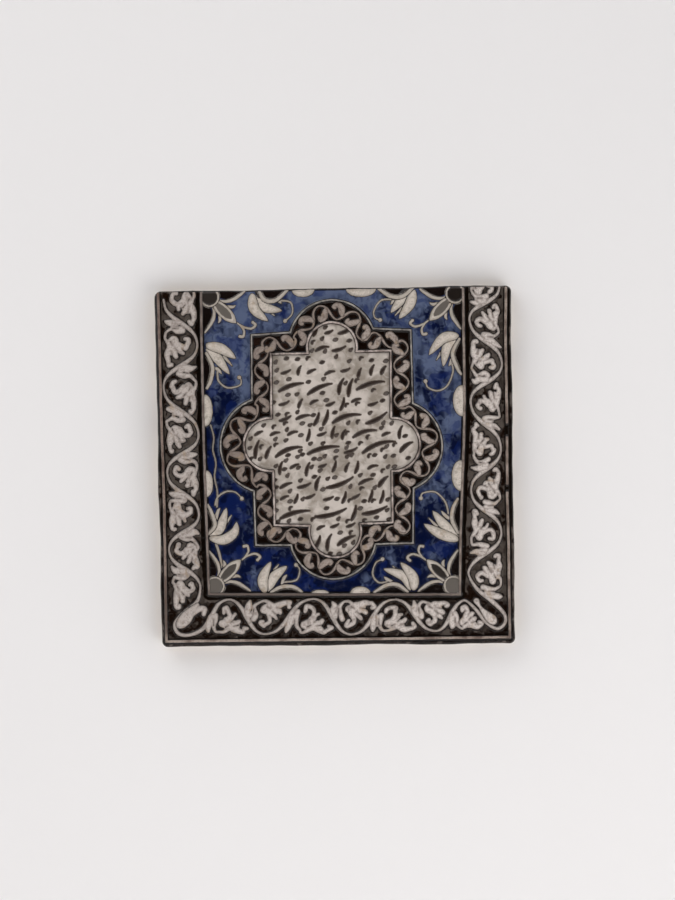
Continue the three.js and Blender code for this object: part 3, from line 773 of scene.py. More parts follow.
@dataclass
class BandScroll:
    """The running scroll between the cartouche's rib and the panel's rib."""

    bays: int = 46
    steps: int = 8
    wall_points: tuple = (1400, 1200)
    stem_width: float = 1.3
    stem_swing: float = 0.70
    stem_steps: int = 10
    comma: tuple = (
        (0.20, -0.20, 2.8), (0.28, 0.10, 4.4), (0.38, 0.40, 4.8), (0.52, 0.62, 3.9), (0.67, 0.64, 3.2),
        (0.75, 0.46, 2.8), (0.69, 0.32, 2.3),
    )
    unevenness: float = 0.022
    seed: int = 8

    @staticmethod
    def spread(line: np.ndarray, count: int) -> np.ndarray:
        """Sets points evenly along a closed line.

        Args:
            line: The line's own points.
            count: How many points are wanted.
        Returns:
            The points, from the line's first one on.
        """
        closed = np.vstack([line, line[:1]])
        run = np.concatenate([[0], np.cumsum(np.hypot(*np.diff(closed, axis=0).T))])
        places = np.arange(count) / count * run[-1]
        return np.stack([np.interp(places, run, closed[:, k]) for k in (0, 1)], 1)

    def draw(self, canvas: Canvas) -> None:
        """Draws the wavy stem and a curled leaf in each bay.

        Args:
            canvas: What it is drawn on.
        """
        outside, inside = np.array(CARTOUCHE), np.array(PANEL)
        count = self.bays * self.steps
        line = self.spread((outside + inside) / 2, count)
        pairs = zip((outside, inside), self.wall_points)
        walls = np.vstack([self.spread(wall, points) for wall, points in pairs])
        reach = np.array([np.hypot(*(walls - point).T).min() for point in line])
        for _ in range(4):
            line = (np.roll(line, 1, 0) + 2 * line + np.roll(line, -1, 0)) / 4
            reach = (np.roll(reach, 1) + 2 * reach + np.roll(reach, -1)) / 4
        along = np.roll(line, -1, 0) - np.roll(line, 1, 0)
        along /= np.hypot(*along.T)[:, None]
        out = np.stack([along[:, 1], -along[:, 0]], 1) * reach[:, None]
        ring = np.arange(count + 1)

        def at(s: float, u: float, width: float) -> Node:
            """A node of the scroll.

            Args:
                s: Its place along the band, in bays.
                u: Its place across the band, from -1 at the panel to 1 at the cartouche.
                width: Its width.
            Returns:
                The node on the face.
            """
            place = s * self.steps % count
            columns = [part[:, k] for part in (line, out) for k in (0, 1)]
            x, z, out_x, out_z = (np.interp(place, ring, np.append(column, column[0])) for column in columns)
            return (x + u * out_x, z + u * out_z, width)

        wave = []
        for k in range(self.stem_steps * self.bays + 1):
            swing = math.sin(math.pi * k / self.stem_steps)
            off = -self.stem_swing * math.copysign(abs(swing) ** 0.8, swing)
            wave.append(at(k / self.stem_steps, off, self.stem_width + 0.7 * (1 - abs(swing))))
        canvas.lay([wave], line=0.3)
        random = np.random.default_rng(self.seed)
        for bay in range(self.bays):
            side = -1 if bay % 2 else 1
            shifts = random.normal(0, self.unevenness, (len(self.comma), 3))
            nodes = []
            for (s, u, width), shift in zip(self.comma, shifts):
                nodes.append(at(bay + s + shift[0], side * (u + shift[1]), width * (1 + shift[2])))
            canvas.lay([nodes], line=0.25)


@dataclass
class BrushRows:
    """Rows of tapered brush strokes in place of an inscription: sweeps, dashes and marks, never letters."""

    # each row: its height, its start and its end
    rows: tuple = (
        (88, -15, 14), (60, -41, 37), (38, -41, 37), (16, -60, 55), (-8, -41, 37), (-29, -40, 36),
        (-50, -16, 13),
    )
    # where small marks are set: lowest, highest, left and right
    fields: tuple = ((-38, 80, -42, 38), (-2, 33, -61, 57), (-62, -40, -14, 12), (82, 101, -15, 13))
    mark_steps: Point = (8.6, 7.6)
    # half run, rise and width of each kind of stroke
    sweep: tuple = (10.6, 3.2, 2.5)
    dash: tuple = (1.6, 5.2, 2.1)
    tick: tuple = (4.2, 1.6, 1.9)
    # the two lines of a row: lift, share of the full size, and how often each kind comes
    lines: tuple = ((-3.6, 1.0, (0.42, 0.34, 0.24)), (7.6, 0.72, (0.1, 0.4, 0.5)))
    bows: tuple = (0.1, 0.07, -0.07)
    tones: tuple = (0.0, 0.16, 0.3)
    # how much a stroke's run and rise vary, the gaps between strokes, and how far one strays up or down
    runs: Point = (0.8, 1.15)
    rises: Point = (0.75, 1.2)
    gaps: Point = (3.0, 5.2)
    stray: float = 1.4
    # the least room that a mark needs, and a lozenge
    room: Point = (1.9, 2.4)
    seed: int = 7

    @staticmethod
    def taper(foot: Point, tip: Point, width: float, bow: float) -> list[Node]:
        """A pen stroke that swells soon after its start and tapers to its end.

        Args:
            foot: Its start.
            tip: Its end.
            width: Its full width.
            bow: How far it bends to the left of its way, as a share of its length.
        Returns:
            Its nodes.
        """
        x, z = tip[0] - foot[0], tip[1] - foot[1]
        nodes = []
        for share in (0.0, 0.2, 0.5, 0.8, 1.0):
            lift = bow * 4 * share * (1 - share)
            swell = math.sin(math.pi * (0.12 + 0.86 * share ** 0.75)) ** 0.8
            place = (foot[0] + x * share - z * lift, foot[1] + z * share + x * lift)
            nodes.append((*place, max(width * swell, 0.4)))
        return nodes

    def draw(self, strokes: Canvas) -> None:
        """Draws every row.

        Args:
            strokes: The canvas that the strokes are drawn on.
        """
        random = np.random.default_rng(self.seed)
        for height, start, end in self.rows:
            for lift, share, odds in self.lines:
                x = start + random.uniform(0, 4)
                while x < end - 3:
                    run, rise, width = (self.sweep, self.dash, self.tick)[random.choice(3, p=odds)]
                    run = min(run * share * random.uniform(*self.runs), (end - x) / 2)
                    rise *= share * random.uniform(*self.rises)
                    z = height + lift + random.uniform(-self.stray, self.stray)
                    bow = float(random.choice(self.bows))
                    stroke = self.taper((x, z - rise), (x + 2 * run, z + rise), width * share ** 0.5, bow)
                    strokes.lay([stroke], line=0.2)
                    x += 2 * run + random.uniform(*self.gaps) / share
        for low, high, left, right in self.fields:
            for z in np.arange(low, high, self.mark_steps[1]):
                for x in np.arange(left, right, self.mark_steps[0]):
                    self.mark(strokes, x + random.uniform(-2, 2), z + random.uniform(-2, 2), random)

    def mark(self, strokes: Canvas, x: float, z: float, random: np.random.Generator) -> None:
        """Sets a lozenge, a short stroke or a small hollow drop where the rows leave room.

        Args:
            strokes: The canvas that the strokes are drawn on.
            x: Its place to the right.
            z: Its place up.
            random: What its kind, tilt and tone are drawn from.
        """
        room = -float(strokes.sample(strokes.form, np.array([x]), np.array([z]))[0])
        if room < self.room[0]:
            return
        kind, tilt, tone = random.uniform(), random.uniform(0.5, 1.1), random.choice(self.tones)
        right, up = math.cos(tilt), math.sin(tilt)
        if kind < 0.4 and room > self.room[1]:
            lozenge = [(x - 1.5, z - 0.5, 0.2), (x, z, 2.0), (x + 1.5, z + 0.5, 0.2)]
            strokes.lay([lozenge], tone=tone, line=0.2)
        elif kind < 0.55:
            foot, tip = (x - 1.4 * right, z - 1.4 * up), (x + 1.4 * right, z + 1.4 * up)
            strokes.lay([self.taper(foot, tip, 1.3, 0.3)], line=0.15)
        else:
            drop = [(x, z, 1.9), (x + 1.6 * right, z + 1.6 * up, 0.8)]
            strokes.lay([drop], tone=tone, line=0.15)
            strokes.score([(x, z, 1.0), (x + 0.8 * right, z + 0.8 * up, 0.5)])


@dataclass
class Face:
    """The whole modelled and painted face, as rasters of height and paint."""

    canvas: Canvas = field(default_factory=Canvas)
    strokes: Canvas = field(default_factory=Canvas)
    height: np.ndarray = field(init=False)
    wash: np.ndarray = field(init=False)
    shade: np.ndarray = field(init=False)
    zones: dict[Zone, np.ndarray] = field(init=False)
    groove_depth: float = 0.34
    groove_width: float = 0.32
    rib_foot: float = 0.55

    def __post_init__(self) -> None:
        """Draws every ornament and works out heights and washes."""
        canvas = self.canvas
        inner = canvas.within([*INNER_RIB, *INNER_BEYOND])
        cartouche, panel = canvas.within(CARTOUCHE), canvas.within(PANEL)
        self.zones = {
            Zone.BORDER: ~inner,
            Zone.FIELD: inner & ~cartouche,
            Zone.BAND: cartouche & ~panel,
            Zone.PANEL: panel,
        }
        BorderVine().draw(canvas)
        FlowerField().draw(canvas, inner)
        BandScroll().draw(canvas)
        BrushRows().draw(self.strokes)
        fences = {
            "edge": canvas.fence(CORNERS, True),
            "outer": canvas.fence(OUTER_RIB, False),
            "inner": canvas.fence(INNER_RIB, False),
            "cartouche": canvas.fence(CARTOUCHE, True),
            "panel": canvas.fence(PANEL, True),
        }
        # slip is worn off along the tile's edge
        worn = fences["edge"] - 0.7 + 0.4 * canvas.grain(Patch.WORN_SLIP)
        canvas.paint = np.where(worn < 3, np.minimum(canvas.paint, worn), canvas.paint)
        self.height = self.heights(fences, panel)
        self.wash, self.shade = self.washes(fences)

    @staticmethod
    def soften(raster: np.ndarray, times: int = 1) -> np.ndarray:
        """Blurs a raster by about one cell a time."""
        for _ in range(times):
            for axis in (0, 1):
                raster = (np.roll(raster, 1, axis) + 2 * raster + np.roll(raster, -1, axis)) / 4
        return raster

    def heights(self, fences: dict[str, np.ndarray], panel: np.ndarray) -> np.ndarray:
        """Heights above the back.

        Args:
            fences: Distances to each rib.
            panel: Where the panel is.
        Returns:
            A raster of millimetres.
        """
        grain, form, paint = self.canvas.grain, self.canvas.form, self.canvas.paint
        ground = GROUND_TOP - 0.08 + 0.07 * grain(Patch.GROUND_SWELLS) + 0.05 * grain(Patch.GROUND_DENTS)
        crown = 0.82 + 0.18 * ramp(form, 0.3, 2.2) + 0.04 * grain(Patch.LEAF_CROWNS)
        leaf = LEAF_RISE * ramp(form, -0.7, 0.75) * np.minimum(crown, 1.0)
        groove = self.groove_depth * np.exp(-((paint + 0.1) / self.groove_width) ** 2) * (form > 0.35)
        foot = np.minimum.reduce([fences[name] for name in ("outer", "inner", "cartouche", "panel")])
        swell = self.rib_foot * (1 - ramp(foot, 0.6, 1.9))
        face = ground + np.maximum(leaf - groove, swell)
        fine = 0.035 * grain(Patch.GRAIN) + 0.02 * grain(Patch.FINE_GRAIN)
        level = PANEL_TOP + 0.06 * grain(Patch.PANEL_SWELLS) + 0.04 * grain(Patch.PANEL_DENTS)
        level = level - 0.35 * (1 - ramp(fences["panel"], 0.8, 4.0))
        drawn = STROKE_RISE * ramp(self.strokes.form, -0.3, 0.35)
        return self.soften(np.where(panel, level + drawn, face), 2) + fine

    def washes(self, fences: dict[str, np.ndarray]) -> tuple[np.ndarray, np.ndarray]:
        """How the grounds were washed, and where dark glaze pooled.

        Args:
            fences: Distances to each rib.
        Returns:
            The wash from 0, deep, to 1, thin, and the pooled dark from 0 to 1.
        """
        canvas, grain = self.canvas, self.canvas.grain
        x, z = canvas.ticks[None, :], canvas.ticks[:, None]
        up = z + 0 * x
        inner, cartouche, edge = fences["inner"], fences["cartouche"], fences["edge"]
        # border: patches of grey between the leaves that fade out under the foot's vine. The ground stays
        # dark a little way off each leaf, partly glaze pooled at its foot and partly painted shade round the
        # relief
        away = -np.maximum(canvas.paint, -4)
        patches = grain(Patch.GREY_CLOUDS) + 0.7 * grain(Patch.GREY_SPOTS) - 1.0 * (1 - ramp(up, -100, -88))
        leaf_shade_margin = away - 0.5 - 0.7 * grain(Patch.LEAF_SHADE_EDGES)
        grey = ramp(leaf_shade_margin, 0.0, 0.6) * ramp(patches, -0.9, 0.1)
        # field: blue that is thin above, deep below and thin again along the top of the cartouche
        upper = ramp(z + 0.35 * x, -80, 90)
        dabs = grain(Patch.BLUE_CLOUDS) + 0.55 * grain(Patch.BLUE_DABS) + 0.3 * grain(Patch.BLUE_STREAKS)
        blue = np.clip(0.06 + 0.56 * upper + 0.40 * dabs, 0, 1)
        blue = np.maximum(blue, 0.8 * (1 - ramp(cartouche, 1.2, 4.0)) * ramp(up, -60, 40))
        # band and panel: brown patches off the scroll, and cream that is a little deeper round the strokes,
        # painted shade of their low relief
        brown = ramp(away, 0.4, 1.4) * ramp(grain(Patch.BROWN_CLOUDS), -0.2, 0.8)
        cream = np.clip(0.58 + 0.5 * grain(Patch.CREAM_CLOUDS) + 0.25 * grain(Patch.CREAM_SPOTS), 0, 1)
        # painted shade: the cream wash darkens towards each stroke
        cream *= ramp(-self.strokes.form, 0.2, 1.4) * 0.4 + 0.6
        wash = np.select(list(self.zones.values()), [grey, blue, brown, cream])
        # dark glaze pooled in the gutters beside the ribs and outside the outer rib, and wore off at the edge
        gutter = 1 - ramp(inner + 0.6 * grain(Patch.GUTTER_DRIFT), 3.6, 4.6)
        rim = 1 - ramp(fences["outer"], 1.4, 2.2) * canvas.within([*OUTER_RIB, *OUTER_BEYOND])
        worn = 1 - ramp(edge, 1.5, 2.3)
        rim = rim * (1 - worn * (ramp(grain(Patch.WORN_RIM), -0.1, 0.4) * 0.7 + 0.3 * ramp(up, -120, -124)))
        blue_edge = 1 - ramp(np.minimum.reduce([inner - 1.0, cartouche - 0.3, edge - 0.4]), 0.7, 1.3)
        brown_edge = 1 - ramp(np.minimum(cartouche, fences["panel"]), 0.9, 1.7)
        cream_edge = 1 - ramp(fences["panel"], 1.0, 1.5)
        pooled = [np.maximum(gutter, rim), blue_edge, brown_edge, cream_edge]
        shade = np.select(list(self.zones.values()), pooled)
        return wash.astype(np.float32), shade.astype(np.float32)


def lay_on_slab(u: np.ndarray, v: np.ndarray) -> tuple[np.ndarray, np.ndarray, np.ndarray]:
    """Fits a square sheet to the slab's uneven outline.

    Args:
        u: Places across the square, from -1 to 1.
        v: Places up the square, from -1 to 1.
    Returns:
        x and z on the face, and the distance in from the outline.
    """
    to_side, to_end = HALF_SIDE * (1 - np.abs(u)), HALF_SIDE * (1 - np.abs(v))
    a = np.clip((CORNER_RADIUS - to_side) / CORNER_RADIUS, 0, 1)
    b = np.clip((CORNER_RADIUS - to_end) / CORNER_RADIUS, 0, 1)
    corner = (a > 0) & (b > 0)
    pull = np.where(corner, np.maximum(a, b) / np.maximum(np.hypot(a, b), 1e-9), 1.0)
    inset = np.where(corner, CORNER_RADIUS * (1 - np.maximum(a, b)), np.minimum(to_side, to_end))
    u = np.where(corner, np.sign(u) * (1 - CORNER_RADIUS * (1 - a * pull) / HALF_SIDE), u)
    v = np.where(corner, np.sign(v) * (1 - CORNER_RADIUS * (1 - b * pull) / HALF_SIDE), v)
    s, t = (u + 1) / 2, (v + 1) / 2
    x, z = (
        (1 - t) * ((1 - s) * foot_left + s * foot_right) + t * ((1 - s) * top_left + s * top_right)
        for top_left, top_right, foot_right, foot_left in zip(*CORNERS)
    )
    edges = ((s, to_end, v > 0, (0, 1)), (1 - t, to_side, u > 0, (1, 0)),
             (1 - s, to_end, v < 0, (0, -1)), (t, to_side, u < 0, (-1, 0)))
    for i, (share, away, near, (out_x, out_z)) in enumerate(edges):
        swing = np.sin(EDGE_SWINGS * math.pi * share + EDGE_PHASE * i) * np.sin(math.pi * share)
        for strength, turns, shift in EDGE_RIPPLES:
            swing = swing + strength * np.sin(turns * share + shift * i)
        push = EDGE_WAVE * swing * np.clip(1 - away / EDGE_REACH, 0, 1) * near
        x, z = x + out_x * push, z + out_z * push
    return x, z, inset


@dataclass(frozen=True)
class Coat:
    """A colour laid over what is below it, as far as a mask rises from one value to another."""

    mask: str
    low: float
    high: float
    colour: str
    least: float = 0.0
    most: float = 1.0


def read_masks(tree: bpy.types.NodeTree, painted: tuple, patterns: dict) -> dict[str, bpy.types.NodeSocket]:
    """Gathers what the coats of a finish depend on.

    Args:
        tree: The material's node tree.
        painted: Names of values that were painted on the piece.
        patterns: For each noise its size in millimetres, its detail and its distortion.
    Returns:
        Sockets by name, with the place on the piece as "place", "x", "y" and "z".
    """
    place = add_node(tree, "ShaderNodeTexCoord").outputs["Object"]
    parts = add_node(tree, "ShaderNodeSeparateXYZ", None, None, {0: place}).outputs
    masks = {"place": place, "x": parts["X"], "y": parts["Y"], "z": parts["Z"]}
    for name in painted:
        masks[name] = add_node(tree, "ShaderNodeAttribute", {"attribute_name": name}).outputs["Fac"]
    for name, (size, detail, twist) in patterns.items():
        values = {"Scale": 1 / (size * MM), "Detail": detail, "Distortion": twist}
        masks[name] = add_node(tree, "ShaderNodeTexNoise", None, values, {"Vector": place}).outputs["Fac"]
    return masks


def lay_coats(
    tree: bpy.types.NodeTree, masks: dict[str, bpy.types.NodeSocket], base: str, coats: tuple[Coat, ...]
) -> bpy.types.NodeSocket:
    """Lays coats of colour over each other.

    Args:
        tree: The material's node tree.
        masks: Sockets by name, for the masks and for colours that are worked out already.
        base: The lowest colour, as hex or the name of a socket.
        coats: The coats, lowest first.
    Returns:
        The colour that shows.
    """
    colour = masks.get(base, base)
    for coat in coats:
        values = {"From Min": coat.low, "From Max": coat.high, "To Min": coat.least, "To Max": coat.most}
        cover = add_node(tree, "ShaderNodeMapRange", {"interpolation_type": "SMOOTHSTEP"}, values,
                         {"Value": masks[coat.mask]})
        sides = {6: colour, 7: masks.get(coat.colour, coat.colour)}
        hues = {key: linear(side) for key, side in sides.items() if isinstance(side, str)}
        links = {key: side for key, side in sides.items() if not isinstance(side, str)}
        links[0] = cover.outputs["Result"]
        colour = add_node(tree, "ShaderNodeMix", {"data_type": "RGBA"}, hues, links).outputs[2]
    return colour


@dataclass(frozen=True)
class PaintedGlaze:
    """Stonepaste dipped in pale slip, painted in metal oxides and fired under a clear glossy glaze."""

    name: str
    deep: str
    thin: str
    slip: str
    # grey slip: pooled glaze and painted shade at the edges of raised shapes, and the colour of dirt patches
    # and specks
    slip_shade_and_dirt: str
    grey: str
    dark: str
    pooled: str
    accent: str = "#17100c"
    stain: str = "#9c8468"
    mottle: float = 3.0
    # how far the slip greys towards the left side of the tile
    left_greying: float = 0.35
    dabs: float = 0.35
    line: float = LINE_WIDTH
    # how far in from a raised shape's edge its pooled glaze and painted shade reach
    fade: float = 1.0
    specks: float = 0.75
    gloss: tuple = (0.1, 0.22)

    def material(self) -> bpy.types.Material:
        """Makes the material.

        Returns:
            A node material that reads the piece's painted attributes and Object coordinates.
        """
        material = start_material(self.name)
        tree = material.node_tree
        masks = read_masks(tree, ("paint", "tone", "wash", "shade"), {
            "dab": (5.0, 2.0, 0.8), "cloud": (9.0, 2.0, 0.6), "pool": (2.0, 3.0, 0.0),
            "mottle": (self.mottle, 4.0, 0.0), "speck": (1.0, 2.0, 0.0), "stain": (8.0, 4.0, 0.5),
            "wobble": (1.3, 3.0, 0.0), "film": (5.0, 4.0, 0.0), "ripple": (1.6, 3.0, 0.0),
        })
        # brush dabs have firmer edges where one stroke of wet oxide stopped
        dab = add_node(tree, "ShaderNodeMapRange", {"interpolation_type": "SMOOTHSTEP"},
                       {"From Min": 0.42, "From Max": 0.58, "To Min": -self.dabs, "To Max": self.dabs},
                       {"Value": masks["dab"]})
        sums = {"washed": (1.0, dab.outputs["Result"], "wash"), "run": (0.3, masks["pool"], "shade"),
                "edge": (0.6, masks["wobble"], "paint")}
        for name, (share, socket, painted) in sums.items():
            masks[name] = add_node(tree, "ShaderNodeMath", {"operation": "MULTIPLY_ADD"}, {1: share},
                                   {0: socket, 2: masks[painted]}).outputs[0]
        masks["ground"] = lay_coats(tree, masks, self.deep, (
            Coat("washed", 0.1, 0.9, self.thin),
            Coat("cloud", 0.5, 0.62, self.accent, most=0.5),
            Coat("run", 0.5, 0.8, self.pooled),
            Coat("edge", -self.line, 0.3 - self.line * 0.7, self.dark),
        ))
        # slip greys towards the edge of each raised shape, partly glaze pooled at the foot of the relief
        # and partly painted shade that models the relief; it also greys towards the left side of the tile,
        # and dirt stays in soft patches and fine specks
        masks["body"] = lay_coats(tree, masks, self.slip_shade_and_dirt, (
            Coat("paint", 0.0, self.fade, self.slip, least=0.15),
            Coat("x", 90 * MM, -110 * MM, self.slip_shade_and_dirt, most=self.left_greying),
            Coat("mottle", 0.48, 0.7, self.slip_shade_and_dirt, most=0.8),
            Coat("speck", 0.5, 0.68, self.slip_shade_and_dirt, most=self.specks),
            Coat("stain", 0.56, 0.72, self.stain, most=0.5),
            Coat("tone", 0.05, 0.55, self.grey),
            Coat("tone", 0.75, 0.95, self.dark),
        ))
        colour = lay_coats(tree, masks, "ground", (Coat("edge", 0.2, 0.42, "body"),))
        gloss = add_node(tree, "ShaderNodeMapRange", None,
                         {"From Min": 0.3, "From Max": 0.7, "To Min": self.gloss[0], "To Max": self.gloss[1]},
                         {"Value": masks["film"]})
        ripple = add_node(tree, "ShaderNodeBump", None, {"Strength": 0.25, "Distance": 0.25 * MM},
                          {"Height": masks["ripple"]})
        links = {"Base Color": colour, "Roughness": gloss.outputs[0], "Normal": ripple.outputs[0]}
        shader = add_node(tree, "ShaderNodeBsdfPrincipled", None, SHEEN, links)
        add_node(tree, "ShaderNodeOutputMaterial", None, None, {"Surface": shader.outputs["BSDF"]})
        return material


@dataclass(frozen=True)
class RibGlaze:
    """A raised rib: worn slip along the crest, where the dark glaze ran off, and dark flanks."""

    name: str
    crest: str
    worn: str
    flank: str
    crest_depth: float = 0.55
    low: str = "#4d4540"
    foot: str = "#a5978c"
    roughness: float = 0.28

    def material(self) -> bpy.types.Material:
        """Makes the material.

        Returns:
            A node material that reads Object coordinates alone.
        """
        material = start_material(self.name)
        tree = material.node_tree
        masks = read_masks(tree, (), {
            "uneven": (3.0, 4.0, 0.0), "patches": (9.0, 3.0, 0.0), "specks": (1.0, 2.0, 0.0),
        })
        masks["level"] = add_node(tree, "ShaderNodeMath", {"operation": "MULTIPLY_ADD"}, {1: 0.6 * MM},
                                  {0: masks["uneven"], 2: masks["y"]}).outputs[0]
        masks["crest"] = lay_coats(tree, masks, self.crest, (
            Coat("z", -84 * MM, -89 * MM, self.low, most=0.7),
            Coat("z", -115 * MM, -121 * MM, self.foot),
            Coat("x", 50 * MM, 120 * MM, self.foot, most=0.7),
            Coat("patches", 0.4, 0.65, self.worn, most=0.8),
            Coat("specks", 0.5, 0.68, self.worn, most=0.6),
        ))
        # the noise lowers the crest by 0.3 mm on average
        top = -(RIB_TOP - self.crest_depth - 0.3) * MM
        crest = Coat("level", top + 0.12 * MM, top - 0.22 * MM, "crest")
        colour = lay_coats(tree, masks, self.flank, (crest,))
        values = {**SHEEN, "Roughness": self.roughness}
        shader = add_node(tree, "ShaderNodeBsdfPrincipled", None, values, {"Base Color": colour})
        add_node(tree, "ShaderNodeOutputMaterial", None, None, {"Surface": shader.outputs["BSDF"]})
        return material


@dataclass(frozen=True)
class FiredEdge:
    """Bare stonepaste with dark glaze that ran over the front edge in uneven drips."""

    name: str = "bare_stonepaste"
    clay: str = "#b7a184"
    clay_pale: str = "#cbbca3"
    stain: str = "#7d6650"
    glaze: str = "#241813"
    thin_glaze: str = "#5b3d2b"
    # levels between which the glaze starts and then deepens, with a drip's own reach counted in
    glaze_edge: Point = (15.4, 16.2)
    glaze_depth: Point = (16.0, 17.6)
    drip: float = 15.0
    reach: float = 16.0

    def material(self) -> bpy.types.Material:
        """Makes the material.

        Returns:
            A node material that reads Object coordinates alone.
        """
        material = start_material(self.name)
        tree = material.node_tree
        masks = read_masks(tree, (), {"grains": (1.2, 5.0, 0.0), "patches": (22.0, 5.0, 0.0)})
        # a drip is as wide whatever its length, so the pattern is squeezed along the depth
        squeezed = add_node(tree, "ShaderNodeMapping", None, {"Scale": (1.0, 0.12, 1.0)},
                            {"Vector": masks["place"]})
        values = {"Scale": 1 / (self.drip * MM), "Detail": 2.0, "Distortion": 0.3}
        drips = add_node(tree, "ShaderNodeTexNoise", None, values, {"Vector": squeezed.outputs[0]})
        links = {0: drips.outputs["Fac"], 2: masks["y"]}
        masks["level"] = add_node(tree, "ShaderNodeMath", {"operation": "MULTIPLY_ADD"},
                                  {1: -self.reach * MM}, links).outputs[0]
        thin, deep = (-depth * MM for depth in self.glaze_depth)
        start, end = (-depth * MM for depth in self.glaze_edge)
        masks["run_glaze"] = lay_coats(tree, masks, self.thin_glaze, (Coat("level", thin, deep, self.glaze),))
        colour = lay_coats(tree, masks, self.clay, (
            Coat("grains", 0.35, 0.65, self.clay_pale),
            Coat("patches", 0.52, 0.7, self.stain, most=0.7),
            Coat("level", start, end, "run_glaze"),
        ))
        gloss = add_node(tree, "ShaderNodeMapRange", None,
                         {"From Min": start, "From Max": end, "To Min": 0.9, "To Max": 0.3},
                         {"Value": masks["level"]})
        ripple = add_node(tree, "ShaderNodeBump", None, {"Strength": 0.5, "Distance": 0.3 * MM},
                          {"Height": masks["grains"]})
        links = {"Base Color": colour, "Roughness": gloss.outputs[0], "Normal": ripple.outputs[0]}
        shader = add_node(tree, "ShaderNodeBsdfPrincipled", None, SHEEN, links)
        add_node(tree, "ShaderNodeOutputMaterial", None, None, {"Surface": shader.outputs["BSDF"]})
        return material


# Cream-white leaves that grey towards their edges in pooled glaze and painted shade, on brown-black ground
# that thins to a cloudy grey
BORDER_GLAZE = PaintedGlaze(
    "border_glaze", deep="#170c06", thin="#554d47", slip="#d1c7c0", slip_shade_and_dirt="#8b8079", grey="#6d6560",
    dark="#110904", pooled="#0e0703", accent="#1a0e08", fade=1.4,
)
# Ivory flowers on dabbed cobalt blue, from navy at the foot to a thin slate blue at the top
FIELD_GLAZE = PaintedGlaze(
    "field_glaze", deep="#060e2c", thin="#58637e", slip="#cec4b9", slip_shade_and_dirt="#a0978c", grey="#645e58",
    dark="#140d0b", pooled="#0d0a10", accent="#12235a", left_greying=0.1, dabs=0.14, line=0.28, fade=2.4,
)
# Dull beige scrollwork on nearly black brown
BAND_GLAZE = PaintedGlaze(
    "band_glaze", deep="#120804", thin="#251711", slip="#ada097", slip_shade_and_dirt="#74665d", grey="#6d6560",
    dark="#120a07", pooled="#100805", accent="#140a07", left_greying=0.75,
)
# Dark brown strokes on cream with soft grey-brown stains
PANEL_GLAZE = PaintedGlaze(
    "panel_glaze", deep="#91877c", thin="#cac0b7", slip="#2b221d", slip_shade_and_dirt="#352b26", grey="#6d6560",
    dark="#4a4039", pooled="#3a2e28", accent="#aca399", stain="#2b221d", left_greying=0.0, dabs=0.12,
)
# Worn slip along the crests: brownish on the outer ribs, grey round the cartouche and creamy round the panel
OUTER_RIB_GLAZE = RibGlaze("outer_rib_glaze", crest="#8b7a70", worn="#5a483f", flank="#140b08")
INNER_RIB_GLAZE = RibGlaze(
    "inner_rib_glaze", crest="#887c75", worn="#60534c", flank="#140b08", crest_depth=0.42
)
CARTOUCHE_RIB_GLAZE = RibGlaze(
    "cartouche_rib_glaze", crest="#a09b94", worn="#6e6864", flank="#171112", crest_depth=0.28
)
PANEL_RIB_GLAZE = RibGlaze(
    "panel_rib_glaze", crest="#c4b7af", worn="#7c6d65", flank="#241813", crest_depth=0.26
)


def finish_piece(mesh: bpy.types.Mesh, material: bpy.types.Material) -> bpy.types.Object:
    """Shows a mesh as a piece of the tile.

    Args:
        mesh: The piece's mesh, in metres, in place.
        material: Its finish.
    Returns:
        The piece, riding on the tile's body in place of its plain solid.
    """
    mesh.materials.append(material)
    piece = bpy.data.objects.new(mesh.name, mesh)
    bpy.context.scene.collection.objects.link(piece)
    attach(piece, "root")
    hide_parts("tile")
    log.info("%s: %d faces", piece.name, len(mesh.polygons))
    return piece


